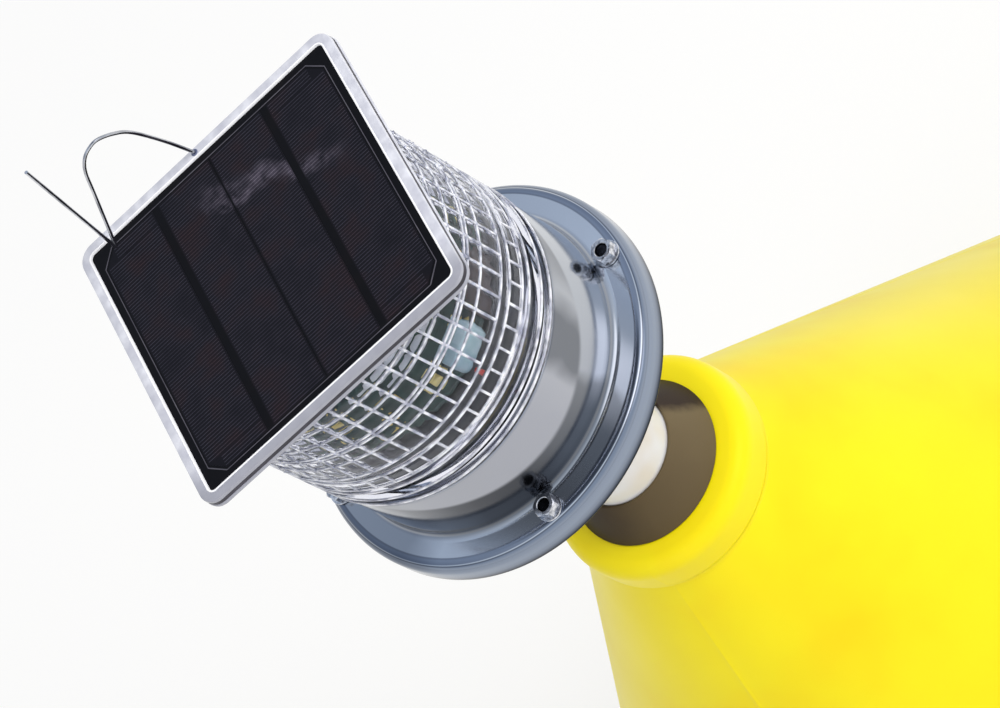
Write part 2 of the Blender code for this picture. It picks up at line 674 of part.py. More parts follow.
def make_tail():
    rod_bore = TAIL_BORE_RADIUS
    plate = [
        (TAIL_PLATE_RADIUS, TAIL_PLATE_Z + TAIL_PLATE_THICKNESS, TAIL_PLATE_FILLET),
        (TAIL_PLATE_RADIUS, TAIL_PLATE_Z, TAIL_PLATE_FILLET),
        (rod_bore, TAIL_PLATE_Z, 0),
        (rod_bore, TAIL_PLATE_Z + TAIL_PLATE_THICKNESS, 0),
    ]
    turned("tail_plate", plate, "galvanised", ROUND_SIDES, closed=True)
    rod_top = TAIL_PLATE_Z + TAIL_PLATE_THICKNESS
    cylinder("tail_rod", TAIL_ROD_RADIUS, ROD_BOTTOM_Z, rod_top, (0, 0), "galvanised")
    sleeve = [
        (TAIL_SLEEVE_RADIUS, TAIL_PLATE_Z - SEAT_GAP, 0),
        (TAIL_SLEEVE_RADIUS, SLEEVE_BOTTOM_Z, 0),
        (rod_bore, SLEEVE_BOTTOM_Z, 0),
        (rod_bore, TAIL_PLATE_Z - SEAT_GAP, 0),
    ]
    turned("tail_sleeve", sleeve, "galvanised", SMALL_SIDES, closed=True)
    for name, bottom in (("upper_weight", UPPER_WEIGHT_Z), ("lower_weight", LOWER_WEIGHT_Z)):
        weight = [
            (WEIGHT_RADIUS, bottom + WEIGHT_THICKNESS, WEIGHT_FILLET),
            (WEIGHT_RADIUS, bottom, WEIGHT_FILLET),
            (NUT_RECESS_RADIUS, bottom, 0),
            (NUT_RECESS_RADIUS, bottom + NUT_RECESS_DEPTH, 0),
            (rod_bore, bottom + NUT_RECESS_DEPTH, 0),
            (rod_bore, bottom + WEIGHT_THICKNESS, 0),
        ]
        turned(name, weight, "cast_iron", ROUND_SIDES, closed=True)
    nut_top = TAIL_NUT_Z + TAIL_NUT_HEIGHT
    corner = hex_radius(TAIL_NUT_FLATS)
    nut = cylinder("tail_nut", corner, TAIL_NUT_Z, nut_top, (0, 0), "galvanised", HEX_SIDES)
    bore = cylinder("tail_nut_bore", rod_bore, TAIL_NUT_Z - OVERRUN, nut_top + OVERRUN, (0, 0))
    boolean(nut, bore, "DIFFERENCE")


def make_swivel():
    rod_bore = TAIL_BORE_RADIUS
    stem_bore = STEM_RADIUS + PIN_GAP
    cavity = BUTTON_RADIUS + PIN_GAP
    floor = BARREL_BOTTOM_Z + BARREL_FLOOR
    barrel = [
        (BARREL_RADIUS, BARREL_TOP_Z, BARREL_FILLET),
        (BARREL_RADIUS, BARREL_BOTTOM_Z, BARREL_FILLET),
        (stem_bore, BARREL_BOTTOM_Z, 0),
        (stem_bore, floor, 0),
        (cavity, floor, 0),
        (cavity, ROD_BOTTOM_Z - SEAT_GAP, 0),
        (rod_bore, ROD_BOTTOM_Z - SEAT_GAP, 0),
        (rod_bore, BARREL_TOP_Z, 0),
    ]
    turned("swivel_barrel", barrel, "galvanised", SMALL_SIDES, closed=True)
    stem = [
        (0, BUTTON_BOTTOM_Z + BUTTON_HEIGHT, 0),
        (BUTTON_RADIUS, BUTTON_BOTTOM_Z + BUTTON_HEIGHT, 0),
        (BUTTON_RADIUS, BUTTON_BOTTOM_Z, 0),
        (STEM_RADIUS, BUTTON_BOTTOM_Z, 0),
        (STEM_RADIUS, SHACKLE_PIN_Z + EYE_RADIUS / 2, 0),
        (0, SHACKLE_PIN_Z + EYE_RADIUS / 2, 0),
    ]
    swivel = turned("swivel_eye", stem, "galvanised", SMALL_SIDES)
    half = EYE_THICKNESS / 2
    eye = cross_cylinder("eye_form", EYE_RADIUS, -half, half, SHACKLE_PIN_Z)
    bevel = eye.modifiers.new("rounded", "BEVEL")
    bevel.width = EYE_EDGE
    bevel.segments = 2
    boolean(swivel, eye, "UNION")
    hole_half = half + OVERRUN
    hole = cross_cylinder("eye_hole", SHACKLE_HOLE_RADIUS, -hole_half, hole_half, SHACKLE_PIN_Z)
    boolean(swivel, hole, "DIFFERENCE")


def make_shackle():
    side = (SHACKLE_GAP + SHACKLE_EAR_WIDTH) / 2
    straight = SHACKLE_LENGTH - side
    bar_top = SHACKLE_PIN_Z - (SHACKLE_HOLE_RADIUS + SHACKLE_EAR_RADIUS) / 2
    points = [Vector((0, -side, bar_top))]
    for step in range(BOW_STEPS + 1):
        angle = math.pi * step / BOW_STEPS
        height = SHACKLE_PIN_Z - straight - side * math.sin(angle)
        points.append(Vector((0, -side * math.cos(angle), height)))
    points.append(Vector((0, side, bar_top)))
    bar = tube_along("shackle_bow", points, SHACKLE_BAR_RADIUS, "galvanised")
    bow = mesh_from_curve(bar, "galvanised")
    gap_half = SHACKLE_GAP / 2
    ear_end = gap_half + SHACKLE_EAR_WIDTH
    # A flat of each round ear points down, so that no facet edge meets one of the bar's
    half_side = math.pi / SMALL_SIDES
    for label, start, end in (("near", -ear_end, -gap_half), ("far", gap_half, ear_end)):
        ear = cross_cylinder(
            f"{label}_ear_form",
            SHACKLE_EAR_RADIUS,
            start,
            end,
            SHACKLE_PIN_Z,
            turn=half_side,
        )
        boolean(bow, ear, "UNION")
    hole_end = ear_end + OVERRUN
    hole = cross_cylinder("shackle_hole", SHACKLE_HOLE_RADIUS, -hole_end, hole_end, SHACKLE_PIN_Z)
    boolean(bow, hole, "DIFFERENCE")
    head_start = -ear_end - SEAT_GAP - PIN_HEAD_HEIGHT
    nut_start = ear_end + SEAT_GAP
    pin_end = nut_start + PIN_NUT_HEIGHT + PIN_END
    pin_start = head_start + PIN_HEAD_HEIGHT / 2
    pin = cross_cylinder("shackle_pin", SHACKLE_PIN_RADIUS, pin_start, pin_end, SHACKLE_PIN_Z, "galvanised")
    corner = hex_radius(PIN_HEAD_FLATS)
    head_end = head_start + PIN_HEAD_HEIGHT
    head = cross_cylinder("pin_head_form", corner, head_start, head_end, SHACKLE_PIN_Z, None, HEX_SIDES)
    boolean(pin, head, "UNION")
    nut_end = nut_start + PIN_NUT_HEIGHT
    nut = cross_cylinder("shackle_nut", corner, nut_start, nut_end, SHACKLE_PIN_Z, "galvanised", HEX_SIDES)
    bore_radius = SHACKLE_PIN_RADIUS + SEAT_GAP
    bore_ends = (nut_start - OVERRUN, nut_end + OVERRUN)
    bore = cross_cylinder("shackle_nut_bore", bore_radius, *bore_ends, SHACKLE_PIN_Z)
    boolean(nut, bore, "DIFFERENCE")


clear_scene()
make_materials()
buoy = new_collection("navigation_buoy")
cutters = new_collection("cutters")
make_hull()
make_mast()
make_plug()
bolt_holes = make_bolts()
make_pan(bolt_holes)
for bolt_hole in bolt_holes:
    boolean(bpy.data.objects["mast_flange"], bolt_hole, "DIFFERENCE")
make_lens()
make_lamp_works()
make_panel()
tube_along("bird_wire", wire_points(), WIRE_RADIUS, "polished_steel")
make_tail()
make_swivel()
make_shackle()
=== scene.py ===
"""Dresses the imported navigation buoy: its finishes, its fine shapes, the studio and the camera.

Every length is in metres in the buoy's own frame: +Z up, the origin on its axis at the waterline.
"""

import logging
import math
from collections.abc import Callable, Iterable, Sequence
from dataclasses import dataclass, replace
from enum import Enum
from functools import cache

import bmesh
import bpy
from mathutils import Matrix, Vector


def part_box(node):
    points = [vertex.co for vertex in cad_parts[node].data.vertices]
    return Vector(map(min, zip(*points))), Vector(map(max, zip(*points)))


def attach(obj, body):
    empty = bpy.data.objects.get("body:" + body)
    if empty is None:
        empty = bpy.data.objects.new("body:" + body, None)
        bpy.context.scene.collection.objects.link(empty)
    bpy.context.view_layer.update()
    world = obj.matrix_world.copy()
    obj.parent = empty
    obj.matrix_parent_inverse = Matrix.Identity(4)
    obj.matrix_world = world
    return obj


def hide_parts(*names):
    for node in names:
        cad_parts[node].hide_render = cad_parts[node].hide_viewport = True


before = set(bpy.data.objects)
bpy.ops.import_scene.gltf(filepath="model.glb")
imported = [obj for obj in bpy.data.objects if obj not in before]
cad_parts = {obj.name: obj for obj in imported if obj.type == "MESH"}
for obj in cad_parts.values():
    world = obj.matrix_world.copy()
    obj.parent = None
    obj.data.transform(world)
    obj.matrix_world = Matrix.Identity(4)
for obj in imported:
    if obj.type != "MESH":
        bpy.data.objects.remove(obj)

LOG = logging.getLogger("buoy")
MM = 0.001
WELD = 0.01 * MM
TURN = 2 * math.pi

Row = tuple[float, float]
Corner = tuple[float, float, float]
Shape = Callable[[float, float, float], float]


class Body(Enum):
    """The bodies that the pieces ride on."""

    FLOAT = "float"
    SWIVEL = "swivel"
    SHACKLE = "shackle"


def linear(code: str) -> tuple[float, float, float, float]:
    """Turns an sRGB colour into the linear values that a shader takes.

    Args:
        code: six hex digits after a hash.

    Returns:
        Red, green, blue and an alpha of 1.
    """
    shares = [int(code[start : start + 2], 16) / 255 for start in (1, 3, 5)]
    curve = [s / 12.92 if s <= 0.04045 else ((s + 0.055) / 1.055) ** 2.4 for s in shares]
    return (curve[0], curve[1], curve[2], 1.0)


def add_node(
    tree: bpy.types.NodeTree,
    kind: str,
    settings: dict | None = None,
    values: dict | None = None,
    links: dict | None = None,
) -> bpy.types.Node:
    """Adds a node with its settings, input values and links.

    Args:
        tree: the shader or geometry tree.
        kind: the node's type.
        settings: attributes of the node.
        values: plain values by input name or index.
        links: sockets that feed inputs, by input name or index.

    Returns:
        The new node.
    """
    node = tree.nodes.new(kind)
    for name, value in (settings or {}).items():
        setattr(node, name, value)
    for key, value in (values or {}).items():
        node.inputs[key].default_value = value
    for key, socket in (links or {}).items():
        tree.links.new(socket, node.inputs[key])
    return node


def per_metre(size_mm: float) -> float:
    """The texture scale at which a pattern repeats about every size_mm millimetres."""
    return 1000 / size_mm


@dataclass(frozen=True)
class Finish:
    """One real material. Its pattern is added by dress().

    Attributes:
        name: the material's name in Blender.
        colour: its main colour.
        roughness: how much it blurs what it mirrors.
        metallic: 1 on bare metal.
        ior: its index of refraction, kept at the default on metal.
    """

    name: str
    colour: str
    roughness: float
    metallic: float = 0.0
    ior: float = 1.5

    def dress(self, tree: bpy.types.NodeTree, shader: bpy.types.Node) -> None:
        """Adds the finish's own pattern to the tree."""

    def noise(self, tree: bpy.types.NodeTree, size_mm: float, detail: float = 2.0) -> bpy.types.NodeSocket:
        """Cloudy noise on the piece's own coordinates.

        Args:
            tree: the material's tree.
            size_mm: the size of a cloud.
            detail: how many finer layers it has.

        Returns:
            The factor's socket.
        """
        place = add_node(tree, "ShaderNodeTexCoord").outputs["Object"]
        values = {"Scale": per_metre(size_mm), "Detail": detail}
        return add_node(tree, "ShaderNodeTexNoise", None, values, {"Vector": place}).outputs[0]

    def blend(
        self, tree: bpy.types.NodeTree, factor: bpy.types.NodeSocket, stops: Sequence[tuple[float, str]]
    ) -> bpy.types.NodeSocket:
        """A colour ramp.

        Args:
            tree: the material's tree.
            factor: what drives the ramp.
            stops: pairs of place and colour.

        Returns:
            The colour's socket.
        """
        ramp = add_node(tree, "ShaderNodeValToRGB", None, None, {"Fac": factor})
        while len(ramp.color_ramp.elements) < len(stops):
            ramp.color_ramp.elements.new(1.0)
        for element, (place, code) in zip(ramp.color_ramp.elements, stops):
            element.position = place
            element.color = linear(code)
        return ramp.outputs["Color"]

    def spread(
        self, tree: bpy.types.NodeTree, factor: bpy.types.NodeSocket, low: float, high: float
    ) -> bpy.types.NodeSocket:
        """Stretches the middle of a noise to run from low to high.

        Args:
            tree: the material's tree.
            factor: the noise.
            low: the value where the noise is 0.3.
            high: the value where it is 0.7.

        Returns:
            The result's socket.
        """
        values = {"From Min": 0.3, "From Max": 0.7, "To Min": low, "To Max": high}
        return add_node(tree, "ShaderNodeMapRange", None, values, {"Value": factor}).outputs["Result"]

    def bump(
        self,
        tree: bpy.types.NodeTree,
        shader: bpy.types.Node,
        height: bpy.types.NodeSocket,
        depth_mm: float,
        strength: float = 1.0,
        after: bpy.types.Node | None = None,
    ) -> bpy.types.Node:
        """Roughens the surface.

        Args:
            tree: the material's tree.
            shader: the shader that takes the normal.
            height: the height pattern, 0 to 1.
            depth_mm: the real depth of the pattern.
            strength: the bump's strength.
            after: a bump that this one adds to.

        Returns:
            The bump node.
        """
        values = {"Distance": depth_mm * MM, "Strength": strength}
        links = {"Height": height}
        if after:
            links["Normal"] = after.outputs["Normal"]
        node = add_node(tree, "ShaderNodeBump", None, values, links)
        tree.links.new(node.outputs["Normal"], shader.inputs["Normal"])
        return node


@cache
def material_of(finish: Finish) -> bpy.types.Material:
    """Builds the finish once.

    Args:
        finish: the finish to build.

    Returns:
        Its material.
    """
    material = bpy.data.materials.new(finish.name)
    material.use_nodes = True
    shader = material.node_tree.nodes["Principled BSDF"]
    shader.inputs["Base Color"].default_value = linear(finish.colour)
    shader.inputs["Roughness"].default_value = finish.roughness
    shader.inputs["Metallic"].default_value = finish.metallic
    if not finish.metallic:
        shader.inputs["IOR"].default_value = finish.ior
    finish.dress(material.node_tree, shader)
    return material


@dataclass(frozen=True)
class RotomouldedPolyethylene(Finish):
    """Polyethylene powder melted in a turning mould: a soft waxy gloss over faint orange peel and cloudy colour."""

    cloud_mm: float = 90.0
    peel_mm: float = 5.0
    peel_depth_mm: float = 0.05

    def dress(self, tree: bpy.types.NodeTree, shader: bpy.types.Node) -> None:
        """Adds cloudy yellow, a gloss that varies and the peel."""
        cloud = self.noise(tree, self.cloud_mm, 3.0)
        colour = self.blend(tree, cloud, ((0.30, "#efd205"), (0.5, self.colour), (0.72, "#f5e30e")))
        tree.links.new(colour, shader.inputs["Base Color"])
        tree.links.new(self.spread(tree, cloud, 0.42, 0.34), shader.inputs["Roughness"])
        shader.inputs["Specular IOR Level"].default_value = 0.25
        shader.inputs["Subsurface Weight"].default_value = 0.12
        shader.inputs["Subsurface Radius"].default_value = (1.0, 0.8, 0.2)
        shader.inputs["Subsurface Scale"].default_value = 3 * MM
        self.bump(tree, shader, self.noise(tree, self.peel_mm, 2.0), self.peel_depth_mm, 0.5)


@dataclass(frozen=True)
class ExtrudedPvc(Finish):
    """White pressure pipe: glossy, with faint lines along the way it was drawn and a little yellowing."""

    def dress(self, tree: bpy.types.NodeTree, shader: bpy.types.Node) -> None:
        """Adds long streaks and soft stains."""
        place = add_node(tree, "ShaderNodeTexCoord").outputs["Object"]
        longer = add_node(tree, "ShaderNodeMapping", None, {"Scale": (1.0, 1.0, 0.04)}, {"Vector": place})
        values = {"Scale": per_metre(1.5), "Detail": 2.0}
        streak = add_node(tree, "ShaderNodeTexNoise", None, values, {"Vector": longer.outputs[0]})
        stain = self.blend(tree, self.noise(tree, 30.0), ((0.35, "#d6cdbf"), (0.6, self.colour)))
        tree.links.new(stain, shader.inputs["Base Color"])
        self.bump(tree, shader, streak.outputs[0], 0.02, 0.4)


@dataclass(frozen=True)
class TurnedRubber(Finish):
    """Hard dark rubber turned on a lathe: satin, with fine rings that draw the light into radial streaks, and a painted
    highlight and painted shade round the axis.
    """

    def dress(self, tree: bpy.types.NodeTree, shader: bpy.types.Node) -> None:
        """Adds a painted highlight and painted shade that change round the axis, and a streaky sheen."""
        place = add_node(tree, "ShaderNodeTexCoord").outputs["Object"]
        around = add_node(tree, "ShaderNodeTexGradient", {"gradient_type": "RADIAL"}, None, {"Vector": place})
        dust_and_sheen = self.noise(tree, 10.0, 3.0)
        shift = add_node(tree, "ShaderNodeMapRange", None, {"To Min": -0.02, "To Max": 0.02}, {"Value": dust_and_sheen})
        turn = add_node(tree, "ShaderNodeMath", {"operation": "ADD"})
        tree.links.new(around.outputs["Fac"], turn.inputs[0])
        tree.links.new(shift.outputs["Result"], turn.inputs[1])
        # Painted highlight and shade: the lighter sector stands in for the turned face's sheen, the darker sectors for
        # shade.
        stops = (
            (0.0, "#231c15"),
            (0.27, "#251e14"),
            (0.37, self.colour),
            (0.47, "#584b35"),
            (0.60, "#5f523c"),
            (0.74, "#6c5f47"),
            (0.765, "#352b24"),
            (1.0, "#231c15"),
        )
        tree.links.new(self.blend(tree, turn.outputs[0], stops), shader.inputs["Base Color"])
        shader.inputs["Anisotropic"].default_value = 0.6
        shader.inputs["Specular IOR Level"].default_value = 0.12
        tangent = add_node(tree, "ShaderNodeTangent", {"direction_type": "RADIAL", "axis": "Z"})
        tree.links.new(tangent.outputs[0], shader.inputs["Tangent"])
        self.bump(tree, shader, self.noise(tree, 1.5, 2.0), 0.02, 0.3)


@dataclass(frozen=True)
class SpunStainless(Finish):
    """Stainless sheet spun over a form and polished: a cool mirror that ripples, with painted reflections round the
    axis, a painted dark band in its corner and painted reflection rings at its edge.

    Attributes:
        face: the height of the pan's brim.
        ripple_mm: the length of a ripple.
        grain_turn: the way that the sheet was rolled.
        shade_height: how high the painted dark band at the wall's foot reaches on its far side, from the brim.
        shade_lean: how the edge of that painted band leans, as the direction at right angles to it.
        wall_reflection_tones: painted reflections on the wall, round the axis.
        foot_band_reflection_tones: the painted dark reflection band at the wall's foot, round the axis.
        brim_reflection_tones: painted reflections on the brim, round the axis.
        edge_reflection_rings: painted light and dark reflection rings along the outline, at the wall's foot and on the
            rolled edge.
    """

    face: float = 0.0
    ripple_mm: float = 34.0
    grain_turn: float = math.radians(29.6)
    shade_height: float = 52.2 * MM
    shade_lean: tuple[float, float, float] = (0.427, 0.181, 1.0)
    # Painted reflections: these tones stand in for what the polished steel mirrors.
    # Columns: share of a turn, counted from -X through -Y, where +X is at a half; colour
    wall_reflection_tones: tuple[tuple[float, str], ...] = (
        (0.0, "#a0a3aa"),
        (0.34, "#9d9fa6"),
        (0.375, "#8a8d93"),
        (0.41, "#a4a6ad"),
        (0.57, "#a9abb3"),
        (0.60, "#b0b2b9"),
        (0.625, "#7b7e84"),
        (0.66, "#7a7d83"),
        (0.69, "#b4b7bd"),
        (0.72, "#8e9197"),
        (1.0, "#a0a3aa"),
    )
    foot_band_reflection_tones: tuple[tuple[float, str], ...] = (
        (0.0, "#c8cbd2"),
        (0.36, "#a8abb2"),
        (0.395, "#74777d"),
        (0.45, "#4b4d52"),
        (0.51, "#484a4f"),
        (0.55, "#63666c"),
        (0.615, "#7c7f85"),
        (0.632, "#acb0b8"),
        (0.80, "#c4c8ce"),
        (1.0, "#c8cbd2"),
    )
    brim_reflection_tones: tuple[tuple[float, str], ...] = (
        (0.0, "#c0c5cd"),
        (0.34, "#a0a6af"),
        (0.39, "#d3d9e1"),
        (0.75, "#e2e7ef"),
        (0.84, "#d6dbe3"),
        (1.0, "#c0c5cd"),
    )
    # Painted reflection rings: light and dark bands that stand in for what the curved edge mirrors.
    # Columns: millimetres along the pan's outline, where its wall meets its brim at 70.5; colour
    edge_reflection_rings: tuple[tuple[float, str], ...] = (
        (64.0, "#ffffff"),
        (69.8, "#c0c3c8"),
        (73.5, "#ffffff"),
        (80.6, "#ffffff"),
        (81.1, "#a4a8b0"),
        (82.0, "#b9bfca"),
        (84.4, "#9ba2af"),
        (84.9, "#ffffff"),
        (85.5, "#666c78"),
        (86.4, "#a3aab6"),
        (94.0, "#a9b0bb"),
        (96.5, "#9aa0ab"),
        (98.2, "#737984"),
        (99.4, "#33373f"),
    )
    outline_start: float = 60.0
    outline_end: float = 101.0

    def tone(
        self, tree: bpy.types.NodeTree, along: bpy.types.NodeSocket, tones: Sequence[tuple[float, str]]
    ) -> bpy.types.NodeSocket:
        """Colours by the way along the pan's outline.

        Args:
            tree: the material's tree.
            along: the share of the outline that lies behind.
            tones: millimetres along the outline, and colour.

        Returns:
            The colour's socket.
        """
        length = self.outline_end - self.outline_start
        return self.blend(tree, along, [((place - self.outline_start) / length, code) for place, code in tones])

    def dress(self, tree: bpy.types.NodeTree, shader: bpy.types.Node) -> None:
        """Adds the painted reflections round the axis, the painted dark band at the foot, the painted reflection rings
        at the edge, smears in the gloss and a slow ripple along the grain.
        """
        place = add_node(tree, "ShaderNodeTexCoord").outputs["Object"]
        smear = self.noise(tree, 26.0, 2.0)
        around = add_node(tree, "ShaderNodeTexGradient", {"gradient_type": "RADIAL"}, None, {"Vector": place})
        turn = add_node(tree, "ShaderNodeMath", {"operation": "ADD"}, None, {0: around.outputs["Fac"]})
        tree.links.new(self.spread(tree, smear, -0.01, 0.01), turn.inputs[1])
        lean = add_node(tree, "ShaderNodeVectorMath", {"operation": "DOT_PRODUCT"}, {1: self.shade_lean}, {0: place})
        edge, blur = self.face + self.shade_height, 1.6 * MM
        smooth = {"interpolation_type": "SMOOTHSTEP"}
        values = {"From Min": edge - blur, "From Max": edge + blur, "To Min": 1.0, "To Max": 0.0}
        shade = add_node(tree, "ShaderNodeMapRange", smooth, values, {"Value": lean.outputs["Value"]})
        flat = add_node(tree, "ShaderNodeVectorMath", {"operation": "MULTIPLY"}, {1: (1.0, 1.0, 0.0)}, {0: place})
        reach = add_node(tree, "ShaderNodeVectorMath", {"operation": "LENGTH"}, None, {0: flat.outputs[0]})
        height = add_node(tree, "ShaderNodeSeparateXYZ", None, None, {"Vector": place}).outputs["Z"]
        way = add_node(tree, "ShaderNodeMath", {"operation": "SUBTRACT"}, None, {0: reach.outputs["Value"], 1: height})
        low, high = self.outline_start * MM - self.face, self.outline_end * MM - self.face
        values = {"From Min": low, "From Max": high}
        along = add_node(tree, "ShaderNodeMapRange", None, values, {"Value": way.outputs[0]})
        values = {"From Min": 0.15, "From Max": 0.36}
        brim = add_node(tree, "ShaderNodeMapRange", smooth, values, {"Value": along.outputs["Result"]})
        # Painted reflections and the painted dark band, fixed to the pan round its axis.
        colour = self.blend(tree, turn.outputs[0], self.wall_reflection_tones)
        for factor, tones in ((shade, self.foot_band_reflection_tones), (brim, self.brim_reflection_tones)):
            links = {"Factor": factor.outputs["Result"], "A": colour}
            mix = add_node(tree, "ShaderNodeMix", {"data_type": "RGBA"}, None, links)
            tree.links.new(self.blend(tree, turn.outputs[0], tones), mix.inputs["B"])
            colour = mix.outputs["Result"]
        settings = {"data_type": "RGBA", "blend_type": "MULTIPLY"}
        tint = add_node(tree, "ShaderNodeMix", settings, {"Factor": 1.0}, {"A": colour})
        tree.links.new(self.tone(tree, along.outputs["Result"], self.edge_reflection_rings), tint.inputs["B"])
        tree.links.new(tint.outputs["Result"], shader.inputs["Base Color"])
        tree.links.new(self.spread(tree, smear, 0.08, 0.18), shader.inputs["Roughness"])
        values = {"Rotation": (0, 0, self.grain_turn), "Scale": (0.22, 1.0, 0.6)}
        drawn = add_node(tree, "ShaderNodeMapping", None, values, {"Vector": place})
        values = {"Scale": per_metre(self.ripple_mm), "Detail": 1.0, "Roughness": 0.3}
        ripple = add_node(tree, "ShaderNodeTexNoise", None, values, {"Vector": drawn.outputs[0]})
        self.bump(tree, shader, ripple.outputs[0], 1.0, 0.5)


@dataclass(frozen=True)
class DrawnStainless(Finish):
    """Stainless bar, wire or nuts as they come: bright, with fine drawing marks and a little tarnish."""

    mark_mm: float = 2.0
    dull: str = "#9a9ca2"

    def dress(self, tree: bpy.types.NodeTree, shader: bpy.types.Node) -> None:
        """Adds tarnish and small marks."""
        mark = self.noise(tree, self.mark_mm, 2.0)
        tree.links.new(self.blend(tree, mark, ((0.35, self.dull), (0.6, self.colour))), shader.inputs["Base Color"])
        tree.links.new(self.spread(tree, mark, 0.12, 0.26), shader.inputs["Roughness"])
        self.bump(tree, shader, mark, 0.02, 0.4)


@dataclass(frozen=True)
class ClearPolycarbonate(Finish):
    """Injection moulded clear polycarbonate: it bends what is behind it, with faint flow marks."""

    def dress(self, tree: bpy.types.NodeTree, shader: bpy.types.Node) -> None:
        """Makes the surface clear and adds the flow marks."""
        shader.inputs["Transmission Weight"].default_value = 1.0
        shader.inputs["Specular Tint"].default_value = (0.35, 0.35, 0.38, 1.0)
        tint = self.blend(tree, self.noise(tree, 12.0, 2.0), ((0.35, "#e9ebf7"), (0.65, self.colour)))
        tree.links.new(tint, shader.inputs["Base Color"])
        self.bump(tree, shader, self.noise(tree, 6.0, 1.0), 0.03, 0.3)


@dataclass(frozen=True)
class CrestHighlight(Finish):
    """The prisms' rounded crests: clear plastic, painted whitish in some stretches as a highlight."""

    def dress(self, tree: bpy.types.NodeTree, shader: bpy.types.Node) -> None:
        """Paints a whitish highlight on some stretches and leaves others clear."""
        # Painted highlight: less transmission and a whiter tint where the noise is high.
        patch = self.noise(tree, 6.0, 2.0)
        tree.links.new(self.spread(tree, patch, 0.0, 0.6), shader.inputs["Transmission Weight"])
        tint = self.blend(tree, patch, ((0.45, "#f7f8ff"), (0.6, self.colour)))
        tree.links.new(tint, shader.inputs["Base Color"])


@dataclass(frozen=True)
class MouldedAcrylicRim(Finish):
    """The panel's rim: milky moulded acrylic with a bright surface, cloudy where it is thick, with painted shade
    towards +X.
    """

    painted_shade_colour: str = "#93949f"

    def dress(self, tree: bpy.types.NodeTree, shader: bpy.types.Node) -> None:
        """Adds the clouds, the painted shade towards +X and a clear skin."""
        cloud = self.noise(tree, 7.0, 2.0)
        colour = self.blend(tree, cloud, ((0.32, "#c0c1cd"), (0.5, self.colour), (0.68, "#e0e1ea")))
        # Painted shade: the rim turns greyer towards its +X side.
        place = add_node(tree, "ShaderNodeTexCoord").outputs["Object"]
        across = add_node(tree, "ShaderNodeSeparateXYZ", None, None, {"Vector": place}).outputs["X"]
        values = {"From Min": 52 * MM, "From Max": 66 * MM, "To Max": 0.85}
        side = add_node(tree, "ShaderNodeMapRange", None, values, {"Value": across})
        links = {"Factor": side.outputs["Result"], "A": colour}
        mix = add_node(tree, "ShaderNodeMix", {"data_type": "RGBA"}, None, links)
        mix.inputs["B"].default_value = linear(self.painted_shade_colour)
        tree.links.new(mix.outputs["Result"], shader.inputs["Base Color"])
        shader.inputs["Coat Weight"].default_value = 0.5
        shader.inputs["Coat Roughness"].default_value = 0.1
        self.bump(tree, shader, self.noise(tree, 4.0, 1.0), 0.04, 0.3)


@dataclass(frozen=True)
class LaminatedCell(Finish):
    """Silicon under a clear laminate: near black, with faint blue and plum clouds and a painted reflection streak."""

    cool: str = "#0d0c13"
    warm: str = "#1f161c"
    streak_glint_colour: str = ""
    streak_place: tuple[float, float, float] = (-33 * MM, 19 * MM, 0.0)
    streak_turn: float = math.radians(61)

    def painted_streak(self, tree: bpy.types.NodeTree) -> bpy.types.NodeSocket:
        """A wavy painted reflection streak across the laminate.

        Args:
            tree: the material's tree.

        Returns:
            The streak's factor.
        """
        place = add_node(tree, "ShaderNodeTexCoord").outputs["Object"]
        values = {"Location": self.streak_place, "Rotation": (0, 0, self.streak_turn)}
        local = add_node(tree, "ShaderNodeMapping", {"vector_type": "TEXTURE"}, values, {"Vector": place})
        parts = add_node(tree, "ShaderNodeSeparateXYZ", None, None, {"Vector": local.outputs[0]})
        wave = self.spread(tree, self.noise(tree, 26.0, 2.0), -7 * MM, 7 * MM)
        factor = self.spread(tree, self.noise(tree, 5.0, 4.0), 0.0, 1.0)
        strayed = add_node(tree, "ShaderNodeMath", {"operation": "ADD"}, None, {0: parts.outputs["Y"], 1: wave})
        spans = ((parts.outputs["X"], 18 * MM, 44 * MM), (strayed.outputs[0], 0.5 * MM, 7.5 * MM))
        for off, inner, outer in spans:
            far = add_node(tree, "ShaderNodeMath", {"operation": "ABSOLUTE"}, None, {0: off})
            values = {"From Min": inner, "From Max": outer, "To Min": 1.0, "To Max": 0.0}
            settings = {"interpolation_type": "SMOOTHSTEP"}
            fade = add_node(tree, "ShaderNodeMapRange", settings, values, {"Value": far.outputs[0]})
            product = add_node(tree, "ShaderNodeMath", {"operation": "MULTIPLY"}, None, {0: factor})
            tree.links.new(fade.outputs["Result"], product.inputs[1])
            factor = product.outputs[0]
        return factor

    def dress(self, tree: bpy.types.NodeTree, shader: bpy.types.Node) -> None:
        """Adds the clouds, the painted reflection streak and the laminate's skin."""
        cloud = self.noise(tree, 16.0, 3.0)
        stops = ((0.32, self.cool), (0.5, self.colour), (0.7, self.warm))
        colour = self.blend(tree, cloud, stops)
        # Painted reflection: the streak's lighter colour stands in for light mirrored by the laminate.
        if self.streak_glint_colour:
            mix = add_node(tree, "ShaderNodeMix", {"data_type": "RGBA"}, None, {"Factor": self.painted_streak(tree)})
            tree.links.new(colour, mix.inputs["A"])
            mix.inputs["B"].default_value = linear(self.streak_glint_colour)
            colour = mix.outputs["Result"]
        tree.links.new(colour, shader.inputs["Base Color"])
        shader.inputs["Specular IOR Level"].default_value = 0.15
        self.bump(tree, shader, self.noise(tree, 40.0, 1.0), 0.3, 0.3)


